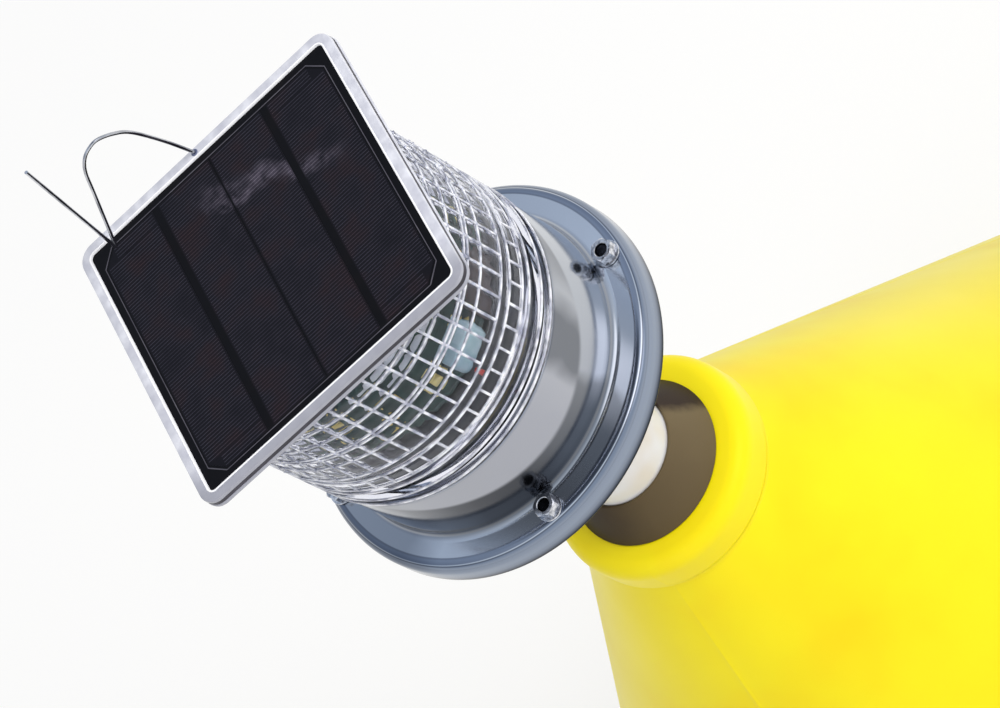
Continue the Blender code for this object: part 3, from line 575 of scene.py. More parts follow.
@dataclass(frozen=True)
class MouldedPlastic(Finish):
    """Plain injection moulded plastic or epoxy: even colour, fine grain, some dust in the tone."""

    light: str = "#ffffff"
    grain_mm: float = 1.2

    def dress(self, tree: bpy.types.NodeTree, shader: bpy.types.Node) -> None:
        """Adds a dusty tone and the grain."""
        dust_and_sheen = self.noise(tree, 8.0, 4.0)
        tree.links.new(self.blend(tree, dust_and_sheen, ((0.4, self.colour), (0.85, self.light))), shader.inputs["Base Color"])
        self.bump(tree, shader, self.noise(tree, self.grain_mm), 0.02, 0.4)


@dataclass(frozen=True)
class HotDipZinc(Finish):
    """Steel dipped in molten zinc: grey crystals of several tones with dull runs between them."""

    spangle_mm: float = 7.0

    def dress(self, tree: bpy.types.NodeTree, shader: bpy.types.Node) -> None:
        """Adds the crystals, their unlike gloss and slow runs."""
        place = add_node(tree, "ShaderNodeTexCoord").outputs["Object"]
        values = {"Scale": per_metre(self.spangle_mm), "Randomness": 1.0}
        cell = add_node(tree, "ShaderNodeTexVoronoi", None, values, {"Vector": place})
        tone = add_node(tree, "ShaderNodeSeparateColor", None, None, {"Color": cell.outputs["Color"]})
        stops = ((0.0, "#8d9396"), (0.5, self.colour), (1.0, "#c4c8ca"))
        tree.links.new(self.blend(tree, tone.outputs[0], stops), shader.inputs["Base Color"])
        values = {"From Min": 0.0, "From Max": 1.0, "To Min": 0.34, "To Max": 0.55}
        gloss = add_node(tree, "ShaderNodeMapRange", None, values, {"Value": tone.outputs[1]})
        tree.links.new(gloss.outputs["Result"], shader.inputs["Roughness"])
        self.bump(tree, shader, self.noise(tree, 9.0, 4.0), 0.25, 0.5)


@dataclass(frozen=True)
class PaintedCastIron(Finish):
    """Sand cast iron under black paint: a dull skin that shows the sand's grain, rubbed grey on the high spots."""

    sand_mm: float = 2.2

    def dress(self, tree: bpy.types.NodeTree, shader: bpy.types.Node) -> None:
        """Adds the sand's grain and the rubbed tones."""
        sand = self.noise(tree, self.sand_mm, 4.0)
        rubbed = self.noise(tree, 35.0, 5.0)
        stops = ((0.35, self.colour), (0.6, "#34363a"), (0.78, "#4a3a30"))
        tree.links.new(self.blend(tree, rubbed, stops), shader.inputs["Base Color"])
        tree.links.new(self.spread(tree, rubbed, 0.5, 0.75), shader.inputs["Roughness"])
        self.bump(tree, shader, sand, 0.4, 0.6)


YELLOW_HULL = RotomouldedPolyethylene("rotomoulded_polyethylene", "#f1de0c", 0.38, ior=1.51)
WHITE_PVC = ExtrudedPvc("extruded_pvc", "#dcdcde", 0.22, ior=1.53)
DARK_RUBBER = TurnedRubber("turned_rubber", "#3f3424", 0.5, ior=1.52)
MIRROR_STEEL = SpunStainless("spun_stainless", "#b4b7c0", 0.08, 1.0)
NUT_STEEL = DrawnStainless("turned_stainless", "#e2e3e8", 0.2, 1.0)
# Painted shade: the near-black bolts stand in for the shade inside the nuts' holes.
SHADED_BOLT_STEEL = DrawnStainless("bolt_painted_shade", "#303136", 0.3, 1.0, dull="#1d1e22")
WIRE_STEEL = DrawnStainless("drawn_stainless", "#d0d1d6", 0.24, 1.0, mark_mm=9.0)
CLEAR_LENS = ClearPolycarbonate("clear_polycarbonate", "#f6f7fd", 0.02, ior=1.33)
# Painted highlight: the crests' whitish finish stands in for the light that the prisms turn back.
CREST_HIGHLIGHT = CrestHighlight("crest_painted_highlight", "#cfd2e2", 0.12, ior=1.586)
PANEL_RIM = MouldedAcrylicRim("moulded_acrylic", "#cecfd9", 0.2, ior=1.49)
# Painted highlight: a white bead stands in for the light that the glass's edge catches.
RIM_HIGHLIGHT_BEAD = MouldedPlastic("white_bead_painted_highlight", "#f6f6fb", 0.15, ior=1.49, light="#ffffff")
# The silicon and the silver print carry a painted reflection streak.
SILICON = LaminatedCell("laminated_silicon", "#0f0d14", 0.3, ior=1.5, warm="#191116", streak_glint_colour="#433e4a")
CELL_BACKING = LaminatedCell("black_backsheet", "#040306", 0.35, ior=1.5, cool="#050408", warm="#080507")
SILVER_PRINT = LaminatedCell("printed_silver", "#454350", 0.3, ior=1.5, cool="#33323d", warm="#46393f", streak_glint_colour="#7a7482")
OUTLINE_PRINT = LaminatedCell("printed_outline", "#55535c", 0.3, ior=1.5, cool="#4a4952", warm="#68666f")
RIM_GASKET = MouldedPlastic("rim_gasket", "#26242e", 0.5, ior=1.5, light="#45424f")
GREY_BLUE_BUSH = MouldedPlastic("grey_blue_bush", "#5b6280", 0.35, ior=1.5, light="#8288a4")
DARK_ABS = MouldedPlastic("dark_abs", "#181b1a", 0.35, ior=1.54, light="#343836")
WHITE_ABS = MouldedPlastic("white_abs", "#eef0ee", 0.25, ior=1.54, light="#ffffff")
SOLDER_MASK = MouldedPlastic("solder_mask", "#17382f", 0.3, ior=1.55, light="#2f5a4a")
AQUA_CASE = MouldedPlastic("aqua_polycarbonate", "#a3c2c2", 0.2, ior=1.58, light="#d3e2e2")
BROWN_RESIN = MouldedPlastic("brown_phenolic", "#2b1c12", 0.4, ior=1.6, light="#54392a")
YELLOW_EPOXY = MouldedPlastic("lamp_epoxy", "#f0d060", 0.1, ior=1.55, light="#fff2b0")
RED_SLEEVE = MouldedPlastic("red_pvc_sleeve", "#c8301c", 0.3, ior=1.53, light="#e05030")
ZINC = HotDipZinc("hot_dip_zinc", "#a7acaf", 0.45, 1.0)
IRON_PAINT = PaintedCastIron("painted_cast_iron", "#222327", 0.6, 0.0)


def filleted(corners: Sequence[Corner], closed: bool = False, steps: int = 6) -> list[Row]:
    """Points of a turned outline with rounded corners.

    Args:
        corners: radius, height and fillet of each corner.
        closed: whether the last corner joins the first.
        steps: chords in each fillet.

    Returns:
        Rows of radius and height.
    """
    rows = []
    for index, (radius, height, fillet) in enumerate(corners):
        corner = Vector((radius, height))
        if not fillet or (not closed and index in (0, len(corners) - 1)):
            rows.append((radius, height))
            continue
        before = Vector(corners[index - 1][:2]) - corner
        after = Vector(corners[(index + 1) % len(corners)][:2]) - corner
        half = before.angle(after) / 2
        reach = min(fillet / math.tan(half), before.length / 2, after.length / 2)
        middle = (before.normalized() + after.normalized()).normalized()
        centre = corner + middle * (reach / math.cos(half))
        start = corner + before.normalized() * reach - centre
        end = corner + after.normalized() * reach - centre
        for step in range(steps + 1):
            point = centre + start.normalized().slerp(end.normalized(), step / steps) * start.length
            rows.append((point.x, point.y))
    return rows


def closed_object(name: str, shape: bmesh.types.BMesh, sharp_degrees: float = 35) -> bpy.types.Object:
    """Makes an object of a mesh whose doubles are merged and whose faces point outwards.

    Args:
        name: the object's name.
        shape: the mesh, which is freed.
        sharp_degrees: the angle past which an edge stays sharp.

    Returns:
        The new object, linked to the scene.
    """
    bmesh.ops.remove_doubles(shape, verts=shape.verts, dist=WELD)
    bmesh.ops.dissolve_degenerate(shape, dist=WELD / 10, edges=shape.edges)
    bmesh.ops.recalc_face_normals(shape, faces=shape.faces)
    mesh = bpy.data.meshes.new(name)
    shape.to_mesh(mesh)
    shape.free()
    mesh.shade_smooth()
    mesh.set_sharp_from_angle(angle=math.radians(sharp_degrees))
    obj = bpy.data.objects.new(name, mesh)
    bpy.context.scene.collection.objects.link(obj)
    return obj


def turned_shape(
    rows: Sequence[Row],
    angles: int | Sequence[float] = 128,
    closed: bool = False,
    shape: Shape | None = None,
    matrix: Matrix | None = None,
) -> bmesh.types.BMesh:
    """Turns an outline about the Z axis.

    Args:
        rows: radius and height of each point of the outline.
        angles: how many columns, or the angle of each.
        closed: whether the outline's last point joins its first.
        shape: gives the radius at an angle, from that angle, the row's radius and its height.
        matrix: places the result.

    Returns:
        The mesh.
    """
    if isinstance(angles, int):
        angles = [TURN * index / angles for index in range(angles)]
    mesh = bmesh.new()
    place = matrix or Matrix()
    rings = []
    for radius, height in rows:
        ring = []
        for angle in angles:
            reach = shape(angle, radius, height) if shape and radius else radius
            point = Vector((reach * math.cos(angle), reach * math.sin(angle), height))
            ring.append(mesh.verts.new(place @ point))
        rings.append(ring)
    pairs = list(zip(rings, rings[1:])) + ([(rings[-1], rings[0])] if closed else [])
    for upper, lower in pairs:
        for index in range(len(angles)):
            following = (index + 1) % len(angles)
            mesh.faces.new((upper[index], lower[index], lower[following], upper[following]))
    return mesh


def joined(name: str, shapes: Iterable[bmesh.types.BMesh], sharp_degrees: float = 35) -> bpy.types.Object:
    """One object of several meshes, which are freed.

    Args:
        name: the object's name.
        shapes: the meshes.
        sharp_degrees: the angle past which an edge stays sharp.

    Returns:
        The new object.
    """
    whole = bmesh.new()
    for shape in shapes:
        part = bpy.data.meshes.new("part")
        shape.to_mesh(part)
        shape.free()
        whole.from_mesh(part)
        bpy.data.meshes.remove(part)
    return closed_object(name, whole, sharp_degrees)


def hexagon(flats: float, bottom: float, top: float, bore: float, place: Matrix | None = None) -> bmesh.types.BMesh:
    """A hexagon nut or head, chamfered at both ends, with a hole if the bore isn't zero.

    Args:
        flats: the width across the flats.
        bottom: its lower end.
        top: its upper end.
        bore: the hole's radius.
        place: places the result.

    Returns:
        The mesh.
    """
    rim = flats / 2 * 0.97
    corner = flats / math.sqrt(3)
    fall = (corner - rim) * math.tan(math.radians(30))
    edge = 0.3 * MM

    def shape(angle: float, radius: float, height: float) -> float:
        """The lesser of the flat's distance and the chamfer cone's radius, but the bore stays round."""
        if radius <= bore + edge:
            return radius
        return min(flats / 2 / math.cos((angle + math.pi / 6) % (math.pi / 3) - math.pi / 6), radius)

    steps = 4
    chamfer = [(rim + (corner - rim) * step / steps, fall * step / steps) for step in range(steps + 1)]
    rows = [(radius, top - drop) for radius, drop in chamfer]
    rows += [(radius, bottom + drop) for radius, drop in reversed(chamfer)]
    if bore:
        ends = [(bore + edge, bottom), (bore, bottom + edge), (bore, top - edge), (bore + edge, top)]
        rows += ends
    else:
        rows = [(0, top), *rows, (0, bottom)]
    return turned_shape(rows, 72, bool(bore), shape, place)


class GeometryTree:
    """A Geometry Nodes tree with named inputs that is used once or more and left as plain meshes."""

    def __init__(self, name: str, inputs: dict[str, str]) -> None:
        """Starts the tree.

        Args:
            name: the tree's name.
            inputs: the socket type of each named input.
        """
        self.tree = bpy.data.node_groups.new(name, "GeometryNodeTree")
        self.keys: dict[str, str] = {}
        for label, kind in {"Geometry": "NodeSocketGeometry", **inputs, "Material": "NodeSocketMaterial"}.items():
            socket = self.tree.interface.new_socket(name=label, in_out="INPUT", socket_type=kind)
            self.keys[label] = socket.identifier
        self.tree.interface.new_socket(name="Geometry", in_out="OUTPUT", socket_type="NodeSocketGeometry")
        self.entry = self.tree.nodes.new("NodeGroupInput")

    def value(self, label: str) -> bpy.types.NodeSocket:
        """The socket of a named input."""
        return self.entry.outputs[label]

    def node(
        self, kind: str, settings: dict | None = None, values: dict | None = None, links: dict | None = None
    ) -> bpy.types.Node:
        """Adds a node to the tree, as add_node() does."""
        return add_node(self.tree, kind, settings, values, links)

    def math(self, operation: str, *terms: bpy.types.NodeSocket | float) -> bpy.types.NodeSocket:
        """A sum of sockets and numbers.

        Args:
            operation: the Math node's operation.
            terms: its inputs in order.

        Returns:
            The result's socket.
        """
        node = self.node("ShaderNodeMath", {"operation": operation})
        for index, term in enumerate(terms):
            if isinstance(term, bpy.types.NodeSocket):
                self.tree.links.new(term, node.inputs[index])
            else:
                node.inputs[index].default_value = term
        return node.outputs[0]

    def close(self, geometry: bpy.types.NodeSocket) -> None:
        """Ends the tree in Realize Instances and Set Material.

        Args:
            geometry: what the tree has made.
        """
        real = self.node("GeometryNodeRealizeInstances", None, None, {"Geometry": geometry})
        links = {"Geometry": real.outputs[0], "Material": self.value("Material")}
        painted = self.node("GeometryNodeSetMaterial", None, None, links)
        exit_node = self.tree.nodes.new("NodeGroupOutput")
        self.tree.links.new(painted.outputs[0], exit_node.inputs[0])

    def make(self, name: str, values: dict, finish: Finish, source: bpy.types.Mesh | None = None) -> bpy.types.Object:
        """Runs the tree and keeps its result as a plain mesh.

        Args:
            name: the new piece's name.
            values: a value for each named input.
            finish: what the piece is made of.
            source: the mesh that the tree starts from.

        Returns:
            The new piece.
        """
        holder = bpy.data.objects.new("holder", source or bpy.data.meshes.new("holder"))
        bpy.context.scene.collection.objects.link(holder)
        modifier = holder.modifiers.new("nodes", "NODES")
        modifier.node_group = self.tree
        for label, value in {**values, "Material": material_of(finish)}.items():
            modifier[self.keys[label]] = value
        graph = bpy.context.evaluated_depsgraph_get()
        mesh = bpy.data.meshes.new_from_object(holder.evaluated_get(graph))
        holder.modifiers.remove(modifier)
        bpy.data.objects.remove(holder)
        shape = bmesh.new()
        shape.from_mesh(mesh)
        obj = closed_object(name, shape)
        obj.data.materials.clear()
        obj.data.materials.append(material_of(finish))
        return obj


def make_ring_tree() -> GeometryTree:
    """A tree that sets copies of its mesh round the axis, each turned to face outwards.

    Returns:
        The tree.
    """
    kinds = {"Count": "NodeSocketInt", "Radius": "NodeSocketFloat", "Height": "NodeSocketFloat"}
    made = GeometryTree("ring_of_copies", {**kinds, "First Angle": "NodeSocketFloat"})
    links = {"Vertices": made.value("Count"), "Radius": made.value("Radius")}
    circle = made.node("GeometryNodeMeshCircle", None, None, links)
    index = made.node("GeometryNodeInputIndex").outputs[0]
    step = made.math("DIVIDE", TURN, made.value("Count"))
    turn = made.math("ADD", made.math("MULTIPLY", index, step), made.value("First Angle"))
    across = made.math("MULTIPLY", made.math("COSINE", turn), made.value("Radius"))
    along = made.math("MULTIPLY", made.math("SINE", turn), made.value("Radius"))
    spot = made.node("ShaderNodeCombineXYZ", None, None, {"X": across, "Y": along, "Z": made.value("Height")})
    links = {"Geometry": circle.outputs[0], "Position": spot.outputs[0]}
    placed = made.node("GeometryNodeSetPosition", None, None, links)
    facing = made.node("ShaderNodeCombineXYZ", None, None, {"Z": turn})
    rotation = made.node("FunctionNodeEulerToRotation", None, None, {0: facing.outputs[0]})
    links = {"Points": placed.outputs[0], "Instance": made.value("Geometry"), "Rotation": rotation.outputs[0]}
    made.close(made.node("GeometryNodeInstanceOnPoints", None, None, links).outputs[0])
    return made


def make_ribbed_tree() -> GeometryTree:
    """A tree that turns an outline about the axis and raises upright ribs on a band of its outer wall.

    Returns:
        The tree.
    """
    sizes = ("Rib Height", "Rib Width", "Band Bottom", "Band Top", "Band Radius", "Crown")
    kinds = {"Columns": "NodeSocketInt", "Ribs": "NodeSocketInt", **{size: "NodeSocketFloat" for size in sizes}}
    made = GeometryTree("ribbed_turning", kinds)
    profile = made.value("Geometry")
    rows = made.node("GeometryNodeAttributeDomainSize", None, None, {"Geometry": profile}).outputs["Point Count"]
    links = {"Vertices X": made.math("ADD", made.value("Columns"), 1.0), "Vertices Y": rows}
    grid = made.node("GeometryNodeMeshGrid", None, None, links).outputs["Mesh"]
    index = made.node("GeometryNodeInputIndex").outputs[0]
    row = made.math("MODULO", index, rows)
    column = made.math("FLOOR", made.math("DIVIDE", made.math("ADD", index, 0.5), rows))
    spot = made.node("GeometryNodeInputPosition").outputs[0]
    settings = {"data_type": "FLOAT_VECTOR", "domain": "POINT"}
    links = {"Geometry": profile, "Value": spot, "Index": row}
    point = made.node("GeometryNodeSampleIndex", settings, None, links).outputs[0]
    parts = made.node("ShaderNodeSeparateXYZ", None, None, {"Vector": point}).outputs
    pitch = made.math("DIVIDE", made.math("MULTIPLY", column, made.value("Ribs")), made.value("Columns"))
    whole = made.math("FLOOR", made.math("ADD", pitch, 0.0001))
    share = made.math("SUBTRACT", pitch, whole)
    # Columns crowd towards each rib, because only the rib needs them
    swing = made.math("SINE", made.math("MULTIPLY", share, TURN))
    crowded = made.math("SUBTRACT", share, made.math("MULTIPLY", swing, 0.72 / TURN))
    angle = made.math("DIVIDE", made.math("MULTIPLY", made.math("ADD", whole, crowded), TURN), made.value("Ribs"))
    nearest = made.math("MINIMUM", crowded, made.math("SUBTRACT", 1.0, crowded))
    arc = made.math("MULTIPLY", parts["X"], made.math("DIVIDE", TURN, made.value("Ribs")))
    distance = made.math("MULTIPLY", nearest, arc)
    links = {"Value": distance, "From Max": made.math("MULTIPLY", made.value("Rib Width"), 0.5)}
    values = {"From Min": 0.0, "To Min": 1.0, "To Max": 0.0}
    smooth = {"interpolation_type": "SMOOTHSTEP"}
    rib = made.node("ShaderNodeMapRange", smooth, values, links).outputs["Result"]
    off_centre = made.math("SUBTRACT", made.math("MULTIPLY", crowded, 2.0), 1.0)
    bulge = made.math("SUBTRACT", 1.0, made.math("MULTIPLY", off_centre, off_centre))
    raised = made.math("MULTIPLY", rib, made.value("Rib Height"))
    crowned = made.math("ADD", raised, made.math("MULTIPLY", bulge, made.value("Crown")))
    inside = [
        made.math("GREATER_THAN", parts["X"], made.value("Band Radius")),
        made.math("GREATER_THAN", parts["Z"], made.value("Band Bottom")),
        made.math("LESS_THAN", parts["Z"], made.value("Band Top")),
    ]
    mask = made.math("MULTIPLY", made.math("MULTIPLY", inside[0], inside[1]), inside[2])
    radius = made.math("ADD", parts["X"], made.math("MULTIPLY", crowned, mask))
    across = made.math("MULTIPLY", radius, made.math("COSINE", angle))
    along = made.math("MULTIPLY", radius, made.math("SINE", angle))
    place = made.node("ShaderNodeCombineXYZ", None, None, {"X": across, "Y": along, "Z": parts["Z"]})
    links = {"Geometry": grid, "Position": place.outputs[0]}
    made.close(made.node("GeometryNodeSetPosition", None, None, links).outputs[0])
    return made


def make_row_tree() -> GeometryTree:
    """A tree that repeats its mesh along X at an even pitch.

    Returns:
        The tree.
    """
    kinds = {"Count": "NodeSocketInt", "First": "NodeSocketVector", "Step": "NodeSocketVector"}
    made = GeometryTree("row_of_copies", kinds)
    links = {"Count": made.value("Count"), "Start Location": made.value("First"), "Offset": made.value("Step")}
    line = made.node("GeometryNodeMeshLine", {"mode": "OFFSET"}, None, links)
    links = {"Points": line.outputs[0], "Instance": made.value("Geometry")}
    made.close(made.node("GeometryNodeInstanceOnPoints", None, None, links).outputs[0])
    return made


def outline_mesh(name: str, rows: Sequence[Row]) -> bpy.types.Mesh:
    """A chain of points in the XZ plane for the ribbed tree, closed on itself.

    Args:
        name: the mesh's name.
        rows: radius and height of each point.

    Returns:
        The mesh.
    """
    mesh = bpy.data.meshes.new(name)
    points = [(radius, 0.0, height) for radius, height in (*rows, rows[0])]
    mesh.from_pydata(points, [(index, index + 1) for index in range(len(rows))], [])
    return mesh


def place_piece(
    obj: bpy.types.Object,
    finish: Finish | None,
    body: Body,
    nodes: Sequence[str] = (),
) -> None:
    """Dresses a piece, lets it ride on its body and hides the CAD nodes that it replaces.

    Args:
        obj: the piece.
        finish: its finish, or None where it has its materials already.
        body: the body that it rides on.
        nodes: the CAD nodes that it replaces.
    """
    if finish:
        obj.data.materials.clear()
        obj.data.materials.append(material_of(finish))
    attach(obj, body.value)
    if nodes:
        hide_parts(*nodes)
    obj.data.calc_loop_triangles()
    LOG.info("%s: %d triangles", obj.name, len(obj.data.loop_triangles))


def top_of(node: str) -> float:
    """The height of a CAD node's top."""
    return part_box(node)[1].z


def bottom_of(node: str) -> float:
    """The height of a CAD node's bottom."""
    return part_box(node)[0].z


def radius_of(node: str) -> float:
    """The outer radius of a round CAD node about the axis."""
    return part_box(node)[1].x


def top_y(node: str) -> float:
    """The far end in Y of a CAD node."""
    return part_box(node)[1].y


@dataclass
class Hull:
    """The yellow float: a rolled collar, a long cone, a belt at the waterline and a short cone below."""

    belt_half: float = 40 * MM
    belt_fillet: float = 28 * MM
    cone_height: float = 450 * MM
    neck_radius: float = 50.5 * MM
    collar_proud: float = 2.0 * MM
    collar_fillet: float = 9 * MM
    groove_fillet: float = 3 * MM
    foot_radius: float = 72 * MM
    foot_fillet: float = 12 * MM
    bore: float = 36.3 * MM
    seam_angle: float = math.radians(-29)
    seam_height: float = 0.45 * MM
    seam_width: float = 2.2 * MM

    def angles(self) -> list[float]:
        """Column angles, crowded at the two mould seams.

        Returns:
            The angles in order.
        """
        even = [TURN * index / 192 for index in range(192)]
        close = [self.seam_angle % TURN + half * math.pi + step * 0.0022 for half in (0, 1) for step in range(-8, 9)]
        return sorted(angle % TURN for angle in {*even, *close})

    def shape(self, angle: float, radius: float, height: float) -> float:
        """Adds the seam's bead where the two halves of the mould met.

        Args:
            angle: the column's angle.
            radius: the row's radius.
            height: the row's height.

        Returns:
            The radius there.
        """
        if radius <= self.bore + MM:
            return radius
        off = abs((angle - self.seam_angle + math.pi / 2) % math.pi - math.pi / 2) * radius
        return radius + self.seam_height * math.exp(-((2 * off / self.seam_width) ** 2)) * min(1, radius / 0.06 - 0.6)

    def build(self) -> None:
        """Makes the float."""
        top, foot, belt = top_of("hull"), bottom_of("hull"), radius_of("hull")
        neck_z = self.belt_half + self.cone_height
        collar = self.neck_radius + self.collar_proud
        corners = [
            (0, top - 30 * MM, 0),
            (self.bore, top - 30 * MM, 0),
            (self.bore, top, 1.5 * MM),
            (collar, top, self.collar_fillet),
            (collar, neck_z + self.groove_fillet, self.groove_fillet),
            (self.neck_radius, neck_z, 3 * MM),
            (belt - 0.5 * MM, self.belt_half, self.belt_fillet),
            (belt - 0.5 * MM, -self.belt_half, self.belt_fillet),
            (self.foot_radius, foot, self.foot_fillet),
            (0, foot, 0),
        ]
        rows = subdivided(filleted(corners, steps=10), 26 * MM)
        hull = closed_object("float_hull", turned_shape(rows, self.angles(), shape=self.shape), 50)
        place_piece(hull, YELLOW_HULL, Body.FLOAT, ["hull"])


def subdivided(rows: Sequence[Row], longest: float) -> list[Row]:
    """Adds points on the straight stretches of an outline.

    Args:
        rows: radius and height of each point.
        longest: the most that two points may be apart.

    Returns:
        The rows with the added points.
    """
    made = [rows[0]]
    for start, end in zip(rows, rows[1:]):
        count = max(1, math.ceil(math.dist(start, end) / longest))
        for step in range(1, count + 1):
            share = step / count
            made.append((start[0] + (end[0] - start[0]) * share, start[1] + (end[1] - start[1]) * share))
    return made


@dataclass
class Mast:
    """The white pipe with the flange glued on its top, and the rubber plug that holds it in the neck."""

    wall: float = 3.5 * MM
    hub_wall: float = 7.5 * MM
    hub_height: float = 22 * MM
    hub_fillet: float = 4 * MM
    edge: float = 1.0 * MM
    plug_brim: float = 2.5 * MM
    plug_cone: float = 20 * MM
    plug_lip: float = 1.2 * MM

    def build_pipe(self) -> None:
        """Makes the pipe, which runs down into the neck."""
        radius, top, bottom = radius_of("mast_pipe"), top_of("mast_pipe"), bottom_of("mast_pipe")
        corners = [
            (radius, top, 0.4 * MM),
            (radius, bottom, 0.4 * MM),
            (radius - self.wall, bottom, 0.4 * MM),
            (radius - self.wall, top, 0.4 * MM),
        ]
        pipe = closed_object("white_pipe", turned_shape(filleted(corners, True, 3), 96, True))
        place_piece(pipe, WHITE_PVC, Body.FLOAT, ["mast_pipe"])

    def build_flange(self) -> None:
        """Makes the flange and its hub."""
        radius, top, bottom = radius_of("mast_flange"), top_of("mast_flange"), bottom_of("mast_flange")
        pipe = radius_of("mast_pipe") + 0.3 * MM
        hub = radius_of("mast_pipe") + self.hub_wall
        plate = bottom + self.hub_height
        corners = [
            (0, top, 0),
            (radius, top, 4 * MM),
            (radius, plate, self.edge),
            (hub, plate, self.hub_fillet),
            (hub, bottom, self.edge),
            (pipe, bottom, 0.3 * MM),
            (pipe, plate, 0),
            (0, plate, 0),
        ]
        flange = closed_object("white_flange", turned_shape(filleted(corners), 128))
        place_piece(flange, WHITE_PVC, Body.FLOAT, ["mast_flange"])

    def build_plug(self) -> None:
        """Makes the turned plug with its low cone and a fine lip."""
        radius, top, bottom = radius_of("neck_plug"), top_of("neck_plug"), bottom_of("neck_plug")
        hole = radius_of("mast_pipe") + 0.3 * MM
        seat = top - self.plug_cone
        corners = [
            (hole, top, 0.3 * MM),
            (hole + self.plug_lip, top, 0.4 * MM),
            (radius, seat + 0.6 * MM, 0.5 * MM),
            (radius, seat, 0.2 * MM),
            (radius - self.plug_brim, seat, 0),
            (radius - self.plug_brim, bottom, 0.5 * MM),
            (hole, bottom, 0.3 * MM),
        ]
        plug = closed_object("rubber_plug", turned_shape(filleted(corners, True, 4), 160, True))
        place_piece(plug, DARK_RUBBER, Body.FLOAT, ["neck_plug"])

    def build(self) -> None:
        """Makes the pipe, the flange and the plug."""
        self.build_pipe()
        self.build_flange()
        self.build_plug()


@dataclass
class LanternBase:
    """The mirror-polished pan, with its brim rolled over, and the four nuts on it."""

    sheet: float = 1.2 * MM
    wall_radius: float = 70.5 * MM
    wall_height: float = 44 * MM
    seat_width: float = 8 * MM
    top_fillet: float = 2 * MM
    foot_fillet: float = 3.8 * MM
    lip_fillet: float = 5.8 * MM
    bolt_circle: float = 78.5 * MM
    nut_flats: float = 9.5 * MM
    nut_height: float = 5.2 * MM
    bolt_radius: float = 3.0 * MM
    washer_radius: float = 6.0 * MM

    def build_pan(self) -> None:
        """Makes the pan, thin sheet all round."""
        lip, top, bottom = radius_of("lantern_pan"), top_of("lantern_pan"), bottom_of("lantern_pan")
        face = top - self.wall_height
        inner, under = self.wall_radius - self.sheet, face - self.sheet
        corners = [
            (self.wall_radius - self.seat_width, top, 0),
            (self.wall_radius, top, self.top_fillet),
            (self.wall_radius, face, self.foot_fillet),
            (lip, face, self.lip_fillet),
            (lip, bottom, 0.5 * MM),
            (lip - self.sheet, bottom, 0.5 * MM),
            (lip - self.sheet, under, self.lip_fillet - self.sheet),
            (inner, under, self.foot_fillet + self.sheet),
            (inner, top - self.sheet, self.top_fillet - self.sheet),
            (self.wall_radius - self.seat_width, top - self.sheet, 0),
        ]
        pan = closed_object("steel_pan", turned_shape(filleted(corners, True, 8), 192, True), 50)
        place_piece(pan, replace(MIRROR_STEEL, face=face), Body.FLOAT, ["lantern_pan"])

    def build_nuts(self, ring: GeometryTree) -> None:
        """Makes the nuts with their washers, bolt ends and heads.

        Args:
            ring: the tree that sets copies round the axis.
        """
        face = top_of("lantern_pan") - self.wall_height + 0.3 * MM
        below = bottom_of("base_bolt_1")
        turn = Matrix.Rotation(math.pi / 6, 4, "Z")
        washer = [
            (self.bolt_radius, face + MM, 0.2 * MM),
            (self.washer_radius, face + MM, 0.3 * MM),
            (self.washer_radius, face, 0.2 * MM),
            (self.bolt_radius, face, 0.2 * MM),
        ]
        nut_top = face + MM + self.nut_height - 0.6 * MM
        shank = [
            (0, nut_top - 0.9 * MM, 0),
            (self.bolt_radius - 0.6 * MM, nut_top - 0.9 * MM, 0),
            (self.bolt_radius - 0.1 * MM, nut_top - 1.5 * MM, 0),
            (self.bolt_radius - 0.1 * MM, below + MM, 0),
            (0, below + MM, 0),
        ]
        head_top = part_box("mast_flange")[0].z + 22 * MM - 0.3 * MM
        nut = [
            turned_shape(filleted(washer, True, 2), 36, True),
            hexagon(self.nut_flats, face + MM, nut_top, self.bolt_radius, turn),
        ]
        # The bolts' near-black finish is painted shade in the nuts' holes.
        bolt = [turned_shape(shank_rows(shank), 24), hexagon(self.nut_flats, below, head_top, 0, turn)]
        nodes = [f"base_bolt_{number}" for number in range(1, 5)]
        for name, shapes, finish, stands_for in (
            ("pan_nuts", nut, NUT_STEEL, nodes),
            ("pan_bolts", bolt, SHADED_BOLT_STEEL, ()),
        ):
            one = joined("one", shapes)
            values = {"Count": 4, "Radius": self.bolt_circle, "Height": 0.0, "First Angle": 0.0}
            made = ring.make(name, values, finish, one.data)
            bpy.data.objects.remove(one)
            place_piece(made, None, Body.FLOAT, stands_for)

    def build(self, ring: GeometryTree) -> None:
        """Makes the pan and its nuts."""
        self.build_pan()
        self.build_nuts(ring)


def shank_rows(corners: Sequence[Corner]) -> list[Row]:
    """The outline's rows without its fillets."""
    return [(radius, height) for radius, height, _ in corners]


